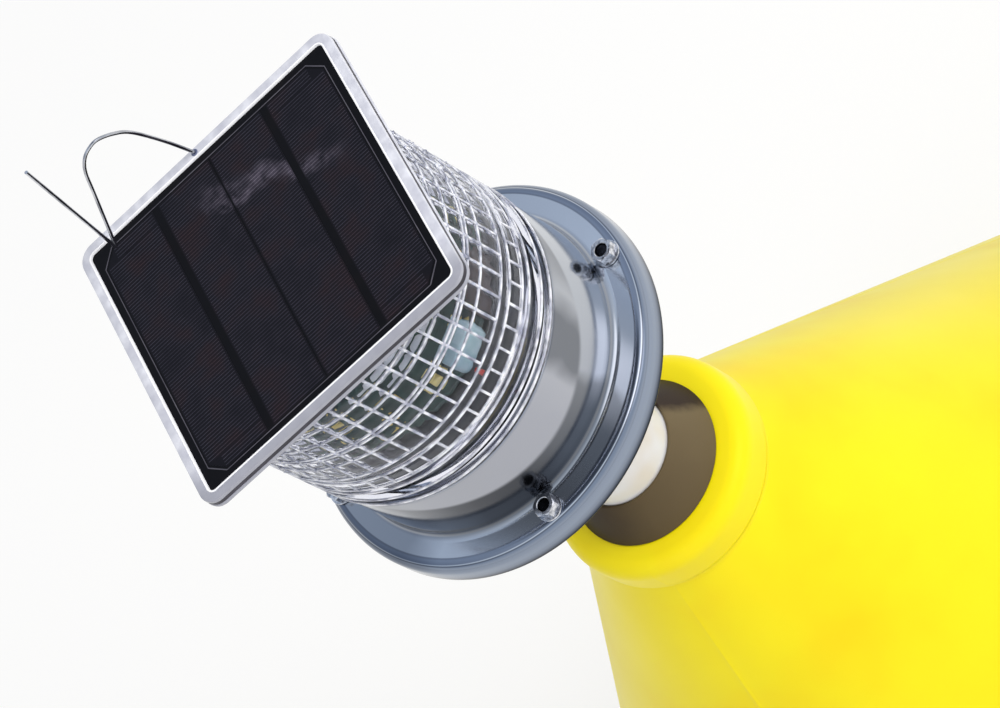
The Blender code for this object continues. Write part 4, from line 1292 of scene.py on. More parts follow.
@dataclass
class PrismLens:
    """The clear drum: upright ribs that cross level ridges, a plain band, short ribs and the ringed skirt."""

    root: float = 70.7 * MM
    bore: float = 67.2 * MM
    ribs: int = 48
    columns: int = 384
    rib_height: float = 0.8 * MM
    pane_crown: float = 0.35 * MM
    rib_width: float = 2.8 * MM
    ridge_height: float = 0.65 * MM
    ridge_width: float = 2.6 * MM
    crest_width: float = 1.1 * MM
    crest_height: float = 1.1 * MM
    ridge_drops: tuple[float, ...] = (9.3 * MM, 19.3 * MM, 30.2 * MM, 32.8 * MM, 41.8 * MM)
    window_drop: float = 56.3 * MM
    band_drop: float = 62.3 * MM
    short_drop: float = 71.4 * MM
    skirt_drops: tuple[float, ...] = (76.3 * MM, 85.3 * MM, 91.8 * MM)

    def ridge(self, height: float) -> list[Row]:
        """A rounded ridge round the wall.

        Args:
            height: the ridge's middle.

        Returns:
            Its rows, from the top down.
        """
        half = self.ridge_width / 2
        shares = ((1.0, 0.0), (0.6, 0.35), (0.3, 0.85), (0.0, 1.0), (-0.3, 0.85), (-0.6, 0.35), (-1.0, 0.0))
        return [(self.root + self.ridge_height * up, height + half * side) for side, up in shares]

    def outer_rows(self) -> list[Row]:
        """The outer wall's outline from the top down.

        Returns:
            Rows of radius and height.
        """
        top, bottom = top_of("lens"), bottom_of("lens")
        rows = [(self.root - 0.6 * MM, top), (self.root, top - 0.6 * MM)]
        last = 0.6 * MM
        for drop in (*self.ridge_drops, self.window_drop, self.band_drop, self.short_drop):
            span = drop - last - self.ridge_width
            if span > self.ridge_width:
                shares = (0.2, 0.4, 0.6, 0.8)
                swell = [(self.root + 4 * self.pane_crown * s * (1 - s), top - last - self.ridge_width / 2 - span * s) for s in shares]
                rows += swell
            rows += self.ridge(top - drop)
            last = drop
        for drop in self.skirt_drops:
            rows += [(self.root - 1.1 * MM, top - drop + 2.2 * MM), *self.ridge(top - drop)]
        return [*rows, (self.root, bottom + 0.5 * MM), (self.root - 0.5 * MM, bottom)]

    def build_wall(self, ribbed: GeometryTree) -> None:
        """Makes the clear wall with its low ribs and ridges.

        Args:
            ribbed: the tree that turns an outline and raises ribs on it.
        """
        top, bottom = top_of("lens"), bottom_of("lens")
        rows = subdivided(self.outer_rows(), 2.6 * MM) + subdivided([(self.bore, bottom), (self.bore, top)], 8 * MM)
        values = {
            "Columns": self.columns,
            "Ribs": self.ribs,
            "Rib Height": self.rib_height,
            "Rib Width": self.rib_width,
            "Band Bottom": top - self.window_drop,
            "Band Top": top - MM,
            "Band Radius": self.root - MM,
            "Crown": self.pane_crown,
        }
        wall = ribbed.make("prism_lens", values, CLEAR_LENS, outline_mesh("lens_outline", rows))
        place_piece(wall, None, Body.FLOAT, ["lens"])

    def build_crests(self, ring: GeometryTree) -> None:
        """Makes the crests of the upright ribs and of the level ridges, whose whitish finish is a painted highlight.

        Args:
            ring: the tree that sets copies round the axis.
        """
        top = top_of("lens")
        half, low, high = self.crest_width / 2, self.root + 0.2 * MM, self.root + self.crest_height
        section = [(low, -half), (high - 0.2 * MM, -half), (high, 0), (high - 0.2 * MM, half), (low, half)]
        spans = (("long_crest_highlights", MM, self.window_drop), ("short_crest_highlights", self.band_drop, self.short_drop))
        for name, start, end in spans:
            ends = [[Vector((x, y, top - drop)) for x, y in section] for drop in (start, end)]
            one = closed_object("one_crest", lofted(ends, False))
            values = {"Count": self.ribs, "Radius": 0.0, "Height": 0.0, "First Angle": 0.0}
            crests = ring.make(name, values, CREST_HIGHLIGHT, one.data)
            bpy.data.objects.remove(one)
            place_piece(crests, None, Body.FLOAT, ())
        drops = (*self.ridge_drops, self.window_drop, self.band_drop, self.short_drop, *self.skirt_drops)
        rings = [turned_shape([(x, top - drop - y) for x, y in section], 144, True) for drop in drops]
        place_piece(joined("level_crest_highlights", rings, 60), CREST_HIGHLIGHT, Body.FLOAT, ())

    def build(self, ring: GeometryTree, ribbed: GeometryTree) -> None:
        """Makes the wall and the crests on it."""
        self.build_wall(ribbed)
        self.build_crests(ring)


@dataclass
class LampWorks:
    """What shows through the lens: the dark drum, the lamp board, the white reflector and the charger."""

    drum_fillet: float = 4 * MM
    lamps: int = 12
    lamp_inset: float = 9 * MM
    lamp_radius: float = 3 * MM
    board_thickness: float = 1.6 * MM
    core_waist: float = 26 * MM
    core_foot: float = 30 * MM
    core_steps: int = 7
    case_angle: float = math.radians(34)
    edge_share: float = 0.38
    case_size: tuple[float, float, float] = (9 * MM, 20 * MM, 14 * MM)

    def build_drum(self) -> None:
        """Makes the drum."""
        radius, top, bottom = radius_of("lamp_drum"), top_of("lamp_drum"), bottom_of("lamp_drum")
        corners = [(0, top, 0), (radius, top, self.drum_fillet), (radius, bottom, 0.5 * MM), (0, bottom, 0)]
        drum = closed_object("dark_drum", turned_shape(filleted(corners), 128))
        place_piece(drum, DARK_ABS, Body.FLOAT, ["lamp_drum"])

    def build_board(self, ring: GeometryTree) -> None:
        """Makes the board and its lamps.

        Args:
            ring: the tree that sets copies round the axis.
        """
        radius, bottom, lamp_top = radius_of("lamp_board"), bottom_of("lamp_board"), top_of("lamp_board")
        face = bottom + self.board_thickness
        corners = [(0, face, 0), (radius, face, 0.2 * MM), (radius, bottom, 0.2 * MM), (0, bottom, 0)]
        board = closed_object("lamp_plate", turned_shape(filleted(corners, steps=2), 128))
        place_piece(board, SOLDER_MASK, Body.FLOAT, ["lamp_board"])
        dome = [(0, lamp_top, 0), (self.lamp_radius, lamp_top, 2.2 * MM), (self.lamp_radius, face, 0), (0, face, 0)]
        one = closed_object("one_lamp", turned_shape(filleted(dome), 24))
        circle = radius - self.lamp_inset
        values = {"Count": self.lamps, "Radius": circle, "Height": 0.0, "First Angle": TURN / self.lamps / 2}
        lamps = ring.make("lamp_ring", values, YELLOW_EPOXY, one.data)
        bpy.data.objects.remove(one)
        place_piece(lamps, None, Body.FLOAT, ())

    def build_core(self) -> None:
        """Makes the stepped reflector under the panel."""
        head, top, foot = radius_of("reflector_core"), top_of("reflector_core"), bottom_of("reflector_core")
        rise = top - foot
        rows = [(0, top), (head, top)]
        start, end = top - 0.1 * rise, foot + 0.45 * rise
        for step in range(self.core_steps + 1):
            share = step / self.core_steps
            radius = head + (self.core_waist - head) * share
            height = start + (end - start) * share
            rows += [(radius, height), (radius - 0.8 * MM, height - 1.2 * MM)]
        rows += [(self.core_foot, foot), (0, foot)]
        core = closed_object("white_reflector", turned_shape(rows, 128))
        place_piece(core, WHITE_ABS, Body.FLOAT, ["reflector_core"])

    def build_charger(self) -> None:
        """Makes the small aqua case, the brown board and the red lead that show behind the lens."""
        floor = bottom_of("lamp_board") + self.board_thickness
        deep, wide, high = self.case_size
        # Columns: name, finish, angle, radius, lower end above the board, size
        pieces = (
            ("aqua_case", AQUA_CASE, self.case_angle, 57 * MM, 0.0, (deep, wide, high)),
            ("brown_board", BROWN_RESIN, math.radians(60), 59 * MM, 0.0, (1.6 * MM, 26 * MM, 17 * MM)),
            ("red_lead", RED_SLEEVE, math.radians(28), 60.6 * MM, -9 * MM, (2.2 * MM, 2.4 * MM, 5 * MM)),
        )
        for name, finish, angle, radius, lift, size in pieces:
            shape = bmesh.new()
            bmesh.ops.create_cube(shape, size=1)
            place = Matrix.Rotation(angle, 4, "Z") @ Matrix.Translation((radius, 0, floor + lift + size[2] / 2))
            bmesh.ops.transform(shape, matrix=place @ Matrix.Diagonal((*size, 1)), verts=shape.verts)
            edge = min(size) * self.edge_share
            bmesh.ops.bevel(shape, geom=shape.edges, offset=edge, segments=3, profile=0.5, affect="EDGES")
            place_piece(closed_object(name, shape), finish, Body.FLOAT)

    def build(self, ring: GeometryTree) -> None:
        """Makes all that shows through the lens, and dresses the hidden battery."""
        self.build_drum()
        self.build_board(ring)
        self.build_core()
        self.build_charger()
        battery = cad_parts["battery_block"]
        battery.material_slots[0].material = material_of(DARK_ABS)


def square_ring(side: float, corner: float, height: float, steps: int = 8) -> list[Vector]:
    """Points of a square with rounded corners.

    Args:
        side: the square's side.
        corner: the radius of its corners.
        height: its height.
        steps: chords in each corner.

    Returns:
        The points, counted from the +X side.
    """
    points = []
    middle = side / 2 - corner
    for quarter, (across, along) in enumerate(((1, 1), (-1, 1), (-1, -1), (1, -1))):
        for step in range(steps + 1):
            angle = math.pi / 2 * (quarter + step / steps)
            points.append(
                Vector(
                    (
                        across * middle + corner * math.cos(angle),
                        along * middle + corner * math.sin(angle),
                        height,
                    )
                )
            )
    return points


def lofted(rings: Sequence[Sequence[Vector]], closed: bool) -> bmesh.types.BMesh:
    """A skin over rings with as many points each.

    Args:
        rings: the rings in order.
        closed: whether the last ring joins the first, or both ends are capped.

    Returns:
        The mesh.
    """
    shape = bmesh.new()
    made = [[shape.verts.new(point) for point in ring] for ring in rings]
    pairs = list(zip(made, made[1:])) + ([(made[-1], made[0])] if closed else [])
    for upper, lower in pairs:
        for index in range(len(upper)):
            following = (index + 1) % len(upper)
            shape.faces.new((upper[index], lower[index], lower[following], upper[following]))
    if not closed:
        shape.faces.new(made[0])
        shape.faces.new(made[-1])
    return shape


@dataclass
class SolarPanel:
    """The square panel: its moulded rim, the black sheet, four strips of silicon and their printed silver."""

    corner: float = 8 * MM
    inner_corner: float = 1.5 * MM
    cell_half: float = 62.7 * MM
    cell_clip: float = 7 * MM
    wide_gap: float = 3.6 * MM
    thin_gap: float = 0.9 * MM
    cell_rise: float = 0.08 * MM
    finger_pitch: float = 1.52 * MM
    finger_width: float = 0.2 * MM
    outline_width: float = 0.35 * MM
    sink: float = 0.25 * MM

    def build_rim(self) -> None:
        """Makes the rim, with a dark gasket in the groove round it and a white bead on its inner edge as a painted
        highlight.
        """
        side = 2 * radius_of("panel_frame")
        top, bottom = top_of("panel_frame"), bottom_of("panel_frame")
        inner = (side - 2 * radius_of("solar_glass")) / 2 - 0.2 * MM
        # Columns: how far in from the outer side, height
        walls = [
            (0.6 * MM, bottom),
            (0.0, bottom + 0.5 * MM),
            (0.0, bottom + 1.6 * MM),
            (0.4 * MM, bottom + 2.0 * MM),
            (1.5 * MM, bottom + 2.1 * MM),
            (1.5 * MM, bottom + 4.1 * MM),
            (0.3 * MM, bottom + 4.2 * MM),
            (0.3 * MM, top - 0.6 * MM),
            (0.45 * MM, top - 0.2 * MM),
            (0.9 * MM, top),
            (inner - 0.8 * MM, top),
            (inner - 0.2 * MM, top - 0.6 * MM),
            (inner, bottom_of("solar_glass") - 0.3 * MM),
        ]
        rim = closed_object("panel_rim", lofted(self.square_rings(side, walls), False), 25)
        place_piece(rim, PANEL_RIM, Body.FLOAT, ["panel_frame"])
        low, high = bottom + 2.15 * MM, bottom + 4.05 * MM
        walls = [(0.35 * MM, low), (0.25 * MM, high), (1.4 * MM, high), (1.4 * MM, low)]
        gasket = closed_object("dark_gasket", lofted(self.square_rings(side, walls), True))
        place_piece(gasket, RIM_GASKET, Body.FLOAT, ())
        # Painted highlight: the white bead on the inner edge stands in for the glass edge's highlight.
        walls = [
            (inner - 1.0 * MM, top - 0.3 * MM),
            (inner - 0.95 * MM, top + 0.05 * MM),
            (inner - 0.7 * MM, top + 0.2 * MM),
            (inner - 0.2 * MM, top + 0.1 * MM),
            (inner, top - 0.3 * MM),
            (inner + 0.1 * MM, top_of("solar_glass") - 0.3 * MM),
            (inner - 0.9 * MM, top - 0.9 * MM),
        ]
        bead = closed_object("painted_highlight_bead", lofted(self.square_rings(side, walls), True))
        place_piece(bead, RIM_HIGHLIGHT_BEAD, Body.FLOAT, ())

    def square_rings(self, side: float, walls: Sequence[Row]) -> list[list[Vector]]:
        """Rounded squares, one inside the other.

        Args:
            side: the panel's side.
            walls: how far in from the side each is, and its height.

        Returns:
            The points of each.
        """
        return [square_ring(side - 2 * inset, max(self.corner - inset, self.inner_corner), z) for inset, z in walls]

    def strips(self) -> list[tuple[float, float]]:
        """The Y range of each strip of silicon.

        Returns:
            Low and high ends, from -Y to +Y.
        """
        half, wide, thin = self.cell_half, self.wide_gap / 2, self.thin_gap / 2
        quarter = half / 2
        return [(-half, -quarter - wide), (-quarter + wide, -thin), (thin, quarter - wide), (quarter + wide, half)]

    def half_width(self, along: float) -> float:
        """How far the clipped square reaches in X at this Y."""
        return self.cell_half - max(0.0, abs(along) - (self.cell_half - self.cell_clip))

    def cell(self, low: float, high: float, face: float) -> bmesh.types.BMesh:
        """A strip of silicon with its outer corners clipped.

        Args:
            low: its lower end in Y.
            high: its upper end in Y.
            face: the height of its top.

        Returns:
            The mesh.
        """
        kink = self.cell_half - self.cell_clip
        stops = [low, *[y for y in (-kink, kink) if low < y < high], high]
        right = [(self.half_width(y), y) for y in stops]
        left = [(-x, y) for x, y in reversed(right)]
        ends = [[Vector((x, y, z)) for x, y in right + left] for z in (face, face - self.cell_rise * 2)]
        return lofted(ends, False)

    def build_sheet(self) -> None:
        """Makes the black sheet and the strips of silicon."""
        side = 2 * radius_of("solar_glass")
        face = top_of("solar_glass") - self.sink
        bottom = bottom_of("solar_glass")
        rings = [square_ring(side, self.inner_corner, height) for height in (face, bottom)]
        sheet = closed_object("black_sheet", lofted(rings, False))
        place_piece(sheet, CELL_BACKING, Body.FLOAT, ["solar_glass"])
        top = face + self.cell_rise
        cells = joined("silicon_strips", [self.cell(low, high, top) for low, high in self.strips()])
        place_piece(cells, SILICON, Body.FLOAT, ())

    def build_fingers(self, row: GeometryTree) -> None:
        """Prints the silver fingers on each strip.

        Args:
            row: the tree that repeats a mesh along a line.
        """
        face = top_of("solar_glass") - self.sink + self.cell_rise
        kink = self.cell_half - self.cell_clip
        shapes = []
        for low, high in self.strips():
            clipped = max(abs(low), abs(high)) > kink
            full = kink if clipped else self.cell_half
            # Columns: middle of the row, half its width, ends in Y
            rows = [(0.0, full, low, high)]
            if clipped:
                cut = self.cell_clip - MM
                ends = (low + cut, high) if low < 0 else (low, high - cut)
                rows += [(sign * (kink + self.cell_clip / 2), self.cell_clip / 2, *ends) for sign in (-1, 1)]
            for middle, half, start, end in rows:
                shape = bmesh.new()
                bmesh.ops.create_cube(shape, size=1)
                size = (self.finger_width, end - start - 1.2 * MM, 0.06 * MM)
                place = Matrix.Translation((0, (start + end) / 2, face)) @ Matrix.Diagonal((*size, 1))
                bmesh.ops.transform(shape, matrix=place, verts=shape.verts)
                one = closed_object("one_finger", shape)
                count = int(2 * half / self.finger_pitch)
                first = middle - self.finger_pitch * (count - 1) / 2
                values = {"Count": count, "First": (first, 0, 0), "Step": (self.finger_pitch, 0, 0)}
                made = row.make("fingers", values, SILVER_PRINT, one.data)
                strip = bmesh.new()
                strip.from_mesh(made.data)
                shapes.append(strip)
                bpy.data.objects.remove(one)
                bpy.data.objects.remove(made)
        fingers = joined("silver_fingers", shapes)
        place_piece(fingers, SILVER_PRINT, Body.FLOAT, ())

    def build_outline(self) -> None:
        """Prints the thin pale line round the clipped square."""
        face = top_of("solar_glass") - self.sink + self.cell_rise
        rings = []
        for inset, height in ((-0.5, 0.03), (-0.5, -0.1), (0.5, -0.1), (0.5, 0.03)):
            half = self.cell_half + 0.9 * MM - inset * self.outline_width
            flat = half - self.cell_clip
            corners = ((half, flat), (flat, half), (-flat, half), (-half, flat))
            ring = [Vector((x, y, face + height * MM)) for x, y in corners]
            ring += [Vector((-point.x, -point.y, point.z)) for point in ring]
            rings.append(ring)
        outline = closed_object("printed_outline", lofted(rings, True))
        place_piece(outline, OUTLINE_PRINT, Body.FLOAT, ())

    def build(self, row: GeometryTree) -> None:
        """Makes the whole panel."""
        self.build_rim()
        self.build_sheet()
        self.build_fingers(row)
        self.build_outline()


@dataclass
class BirdWire:
    """The wire that keeps birds off: out of a hole in the rim, over a hoop, down to a bend and up to its tip."""

    radius: float = 0.8 * MM
    hole_depth: float = 3.0 * MM
    rest_height: float = 1.2 * MM
    height: float = 49 * MM
    foot_shares: tuple[float, float] = (-0.481, -0.026)
    bend_shares: tuple[float, float] = (-0.409, -0.369)
    bend_reach: float = 2.6 * MM
    tip_shares: tuple[float, float] = (0.787, 1.41)
    # Columns: share of the way from the foot to the bend, share of the wire's height
    route_shares: tuple[tuple[float, float], ...] = (
        (0.00, 0.00),
        (0.035, 0.35),
        (0.10, 0.72),
        (0.18, 0.88),
        (0.285, 0.985),
        (0.375, 1.00),
        (0.47, 0.965),
        (0.565, 0.86),
        (0.68, 0.64),
        (0.91, 0.20),
    )

    def points(self) -> list[Vector]:
        """The centre line, smooth over the hoop and rounded at the bend.

        Returns:
            The points from the hole to the tip.
        """
        side = 2 * radius_of("panel_frame")
        face = top_of("solar_glass")
        foot = Vector(self.foot_shares) * side
        bend = Vector(self.bend_shares) * side
        made = [Vector((*foot, face - self.hole_depth))]
        for along, up in self.route_shares:
            made.append(Vector((*foot.lerp(bend, along), face + self.rest_height + up * self.height)))
        low = Vector((*bend, face + self.rest_height + self.radius))
        tip = Vector((*foot.lerp(bend, self.tip_shares[0]), face + self.rest_height))
        tip.z += self.tip_shares[1] * self.height - 0.3 * MM
        start = low + (made[-1] - low).normalized() * self.bend_reach
        end = low + (tip - low).normalized() * self.bend_reach
        curve = smoothed([*made, start], 6)
        for step in range(1, 9):
            share = step / 8
            curve.append(start.lerp(low, share).lerp(low.lerp(end, share), share))
        return [*curve, tip]

    def build(self) -> None:
        """Makes the wire as one smooth tube, and the bush in its hole."""
        points = self.points()
        wire = closed_object("steel_bird_wire", tube_shape(points, self.radius, 16), 60)
        place_piece(wire, WIRE_STEEL, Body.FLOAT, ["bird_wire"])
        top = top_of("panel_frame")
        corners = [
            (1.6 * MM, top + 0.3 * MM, 0.2 * MM),
            (1.6 * MM, top - 0.4 * MM, 0),
            (0.85 * MM, top - 0.4 * MM, 0),
            (0.85 * MM, top + 0.3 * MM, 0.1 * MM),
        ]
        place = Matrix.Translation((points[0].x, points[0].y, 0))
        bush = closed_object("wire_bush", turned_shape(filleted(corners, True, 3), 24, True, None, place))
        place_piece(bush, GREY_BLUE_BUSH, Body.FLOAT, ())


def smoothed(points: Sequence[Vector], steps: int) -> list[Vector]:
    """A smooth curve through all the points.

    Args:
        points: what it passes through.
        steps: chords between two of them.

    Returns:
        The curve's points.
    """
    made = []
    for index in range(len(points) - 1):
        before, start = points[max(index - 1, 0)], points[index]
        end, after = points[index + 1], points[min(index + 2, len(points) - 1)]
        for step in range(steps):
            share = step / steps
            linear_part = 2 * start + (end - before) * share
            square_part = (2 * before - 5 * start + 4 * end - after) * share**2
            made.append((linear_part + square_part + (3 * start - before - 3 * end + after) * share**3) / 2)
    return [*made, points[-1]]


@dataclass
class Tail:
    """The galvanised tail under the float: plate, sleeve, rod, two iron weights and the big nut."""

    plate_thickness: float = 8 * MM
    plate_fillet: float = 2 * MM
    rod_bore: float = 18.3 * MM
    weight_fillet: float = 6 * MM
    recess_radius: float = 34.8 * MM
    recess_depth: float = 8 * MM
    bolt_circle: float = 66 * MM
    bolts: int = 8

    def build_plate(self, ring: GeometryTree, ribbed: GeometryTree) -> None:
        """Makes the plate, its bolts and the weld round the sleeve.

        Args:
            ring: the tree that sets copies round the axis.
            ribbed: the tree that turns an outline and raises ribs on it.
        """
        radius, top, bottom = radius_of("tail_plate"), top_of("tail_plate"), bottom_of("tail_plate")
        corners = [
            (radius, top, self.plate_fillet),
            (radius, bottom, self.plate_fillet),
            (self.rod_bore, bottom, 0.3 * MM),
            (self.rod_bore, top, 0.3 * MM),
        ]
        plate = closed_object("zinc_plate", turned_shape(filleted(corners, True, 4), 128, True))
        place_piece(plate, ZINC, Body.FLOAT, ["tail_plate"])
        one = joined("one_bolt", [hexagon(13 * MM, bottom - 5.3 * MM, bottom - 0.2 * MM, 0)])
        values = {"Count": self.bolts, "Radius": self.bolt_circle, "Height": 0.0, "First Angle": TURN / 16}
        bolts = ring.make("plate_bolts", values, ZINC, one.data)
        bpy.data.objects.remove(one)
        place_piece(bolts, None, Body.FLOAT, ())
        sleeve = radius_of("tail_sleeve")
        bead = 4 * MM
        arc = [(sleeve + bead * math.cos(t), bottom - bead + bead * math.sin(t)) for t in weld_steps()]
        rows = [(sleeve + 0.05 * MM, bottom - 0.1 * MM), *arc]
        values = {
            "Columns": 440,
            "Ribs": 55,
            "Rib Height": 0.5 * MM,
            "Rib Width": 3.0 * MM,
            "Band Bottom": bottom - bead * 1.2,
            "Band Top": bottom - 0.3 * MM,
            "Band Radius": sleeve + 0.4 * MM,
            "Crown": 0.0,
        }
        weld = ribbed.make("sleeve_weld", values, ZINC, outline_mesh("weld_outline", rows))
        place_piece(weld, None, Body.FLOAT, ())

    def build_shaft(self) -> None:
        """Makes the rod, the sleeve on it and the nut."""
        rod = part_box("tail_rod")
        radius = rod[1].x
        corners = [(0, rod[1].z, 0), (radius, rod[1].z, MM), (radius, rod[0].z, MM), (0, rod[0].z, 0)]
        place_piece(
            closed_object("zinc_rod", turned_shape(filleted(corners), 64)),
            ZINC,
            Body.FLOAT,
            ["tail_rod"],
        )
        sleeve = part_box("tail_sleeve")
        corners = [
            (sleeve[1].x, sleeve[1].z, 0.5 * MM),
            (sleeve[1].x, sleeve[0].z, MM),
            (self.rod_bore, sleeve[0].z, 0.3 * MM),
            (self.rod_bore, sleeve[1].z, 0.3 * MM),
        ]
        place_piece(
            closed_object("zinc_sleeve", turned_shape(filleted(corners, True, 3), 64, True)),
            ZINC,
            Body.FLOAT,
            ["tail_sleeve"],
        )
        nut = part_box("tail_nut")
        shape = hexagon(nut[1].x * math.sqrt(3), nut[0].z, nut[1].z, self.rod_bore)
        place_piece(closed_object("zinc_nut", shape, 25), ZINC, Body.FLOAT, ["tail_nut"])

    def build_weights(self) -> None:
        """Makes the two iron weights."""
        for name in ("upper_weight", "lower_weight"):
            radius, top, bottom = radius_of(name), top_of(name), bottom_of(name)
            corners = [
                (radius, top, self.weight_fillet),
                (radius, bottom, self.weight_fillet),
                (self.recess_radius, bottom, MM),
                (self.recess_radius, bottom + self.recess_depth, MM),
                (self.rod_bore, bottom + self.recess_depth, 0.3 * MM),
                (self.rod_bore, top, 0.5 * MM),
            ]
            weight = closed_object(f"iron_{name}", turned_shape(filleted(corners, True, 6), 128, True))
            place_piece(weight, IRON_PAINT, Body.FLOAT, [name])

    def build(self, ring: GeometryTree, ribbed: GeometryTree) -> None:
        """Makes the whole tail."""
        self.build_plate(ring, ribbed)
        self.build_shaft()
        self.build_weights()


def weld_steps(count: int = 8) -> list[float]:
    """Angles of a weld bead's rounded face, from under the plate to the sleeve."""
    return [math.pi / 2 - math.pi * 0.75 * step / count for step in range(count + 1)]


def tube_shape(points: Sequence[Vector], radius: float, sides: int = 24) -> bmesh.types.BMesh:
    """A round tube with flat ends.

    Args:
        points: the centre line.
        radius: the tube's radius.
        sides: its facets.

    Returns:
        The mesh.
    """
    rings = []
    side = (points[1] - points[0]).orthogonal()
    turns = [TURN * step / sides for step in range(sides)]
    for index, point in enumerate(points):
        ahead = (points[min(index + 1, len(points) - 1)] - points[max(index - 1, 0)]).normalized()
        side = (side - ahead * side.dot(ahead)).normalized()
        other = ahead.cross(side)
        rings.append([point + (side * math.cos(t) + other * math.sin(t)) * radius for t in turns])
    return lofted(rings, False)


def united(first: bpy.types.Object, second: bpy.types.Object, operation: str = "UNION") -> bpy.types.Object:
    """Joins or cuts two closed objects and keeps the first.

    Args:
        first: the object that is kept.
        second: the object that is used up.
        operation: the boolean's operation.

    Returns:
        The first object.
    """
    modifier = first.modifiers.new("boolean", "BOOLEAN")
    modifier.operation = operation
    modifier.object = second
    graph = bpy.context.evaluated_depsgraph_get()
    mesh = bpy.data.meshes.new_from_object(first.evaluated_get(graph))
    first.modifiers.remove(modifier)
    first.data = mesh
    bpy.data.objects.remove(second)
    mesh.shade_smooth()
    mesh.set_sharp_from_angle(angle=math.radians(35))
    return first


@dataclass
class Mooring:
    """The swivel under the tail and the shackle that hangs in its eye."""

    bore_gap: float = 0.4 * MM
    stem_radius: float = 11 * MM
    barrel_fillet: float = 4 * MM
    barrel_floor: float = 12 * MM
    button_height: float = 8 * MM
    eye_radius: float = 24 * MM
    eye_half: float = 9 * MM
    eye_edge: float = 4 * MM
    pin_radius: float = 10 * MM
    bar_radius: float = 9.5 * MM
    ear_radius: float = 19.4 * MM
    ear_half: float = 10.5 * MM
    side: float = 25.5 * MM
    head_flats: float = 30 * MM
    split_wire: float = 1.2 * MM

    def pin_height(self) -> float:
        """The height of the shackle's pin."""
        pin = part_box("shackle_pin")
        return (pin[0].z + pin[1].z) / 2

    def across(self) -> Matrix:
        """Lays a piece turned about Z along Y, on the pin."""
        return Matrix.Translation((0, 0, self.pin_height())) @ Matrix.Rotation(math.radians(-90), 4, "X")

    def build_barrel(self) -> None:
        """Makes the barrel on the rod's end."""
        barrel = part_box("swivel_barrel")
        rod = 18.3 * MM
        cavity = 17.4 * MM
        corners = [
            (barrel[1].x, barrel[1].z, self.barrel_fillet),
            (barrel[1].x, barrel[0].z, self.barrel_fillet),
            (self.stem_radius + self.bore_gap, barrel[0].z, MM),
            (self.stem_radius + self.bore_gap, barrel[0].z + self.barrel_floor, 0),
            (cavity, barrel[0].z + self.barrel_floor, 0),
            (cavity, bottom_of("tail_rod") - 0.3 * MM, 0),
            (rod, bottom_of("tail_rod") - 0.3 * MM, 0),
            (rod, barrel[1].z, MM),
        ]
        made = closed_object("zinc_barrel", turned_shape(filleted(corners, True, 5), 64, True))
        place_piece(made, ZINC, Body.FLOAT, ["swivel_barrel"])

    def build_eye(self) -> None:
        """Makes the swivel's stem and eye."""
        top = top_of("swivel_eye")
        button = 17 * MM
        corners = [
            (0, top, 0),
            (button, top, MM),
            (button, top - self.button_height, MM),
            (self.stem_radius, top - self.button_height, 2 * MM),
            (self.stem_radius, self.pin_height() + 14 * MM, 0),
            (0, self.pin_height() + 14 * MM, 0),
        ]
        stem = closed_object("zinc_eye", turned_shape(filleted(corners), 48))
        hole = self.pin_radius + self.bore_gap
        corners = [
            (self.eye_radius, self.eye_half, self.eye_edge),
            (self.eye_radius, -self.eye_half, self.eye_edge),
            (hole, -self.eye_half, 1.5 * MM),
            (hole, self.eye_half, 1.5 * MM),
        ]
        eye = closed_object("eye", turned_shape(filleted(corners, True, 5), 64, True, None, self.across()))
        place_piece(united(stem, eye), ZINC, Body.SWIVEL, ["swivel_eye"])

    def build_bow(self) -> None:
        """Makes the shackle's bow with its two ears."""
        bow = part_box("shackle_bow")
        pin = self.pin_height()
        low = bow[0].z + self.bar_radius + self.side
        points = [Vector((0, -self.side, pin - (self.ear_radius + self.pin_radius) / 2))]
        steps = 24
        for step in range(steps + 1):
            angle = math.pi * step / steps
            height = low - self.side * math.sin(angle)
            points.append(Vector((0, -self.side * math.cos(angle), height)))
        points.append(Vector((0, self.side, points[0].z)))
        made = closed_object("zinc_bow", tube_shape(points, self.bar_radius))
        hole = self.pin_radius + self.bore_gap
        for sign in (-1, 1):
            near, far = sign * self.side - self.ear_half, sign * self.side + self.ear_half
            corners = [
                (self.ear_radius, far, 3 * MM),
                (self.ear_radius, near, 3 * MM),
                (hole, near, 0.8 * MM),
                (hole, far, 0.8 * MM),
            ]
            ear = closed_object("ear", turned_shape(filleted(corners, True, 5), 64, True, None, self.across()))
            made = united(made, ear)
        place_piece(made, ZINC, Body.SHACKLE, ["shackle_bow"])

    def build_pin(self) -> None:
        """Makes the pin with its head, and its nut."""
        pin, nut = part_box("shackle_pin"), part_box("shackle_nut")
        head_end = -self.side - self.ear_half - 0.3 * MM
        corners = [
            (0, head_end + MM, 0),
            (self.pin_radius, head_end + MM, 0),
            (self.pin_radius, pin[1].y, 1.5 * MM),
            (0, pin[1].y, 0),
        ]
        shapes = [
            turned_shape(filleted(corners, steps=3), 48, False, None, self.across()),
            hexagon(self.head_flats, pin[0].y, head_end, 0, self.across()),
        ]
        made = joined("zinc_pin", shapes, 25)
        place_piece(made, ZINC, Body.SHACKLE, ["shackle_pin"])
        shape = hexagon(self.head_flats, nut[0].y, nut[1].y, self.pin_radius + 0.3 * MM, self.across())
        place_piece(closed_object("zinc_pin_nut", shape, 25), ZINC, Body.SHACKLE, ["shackle_nut"])

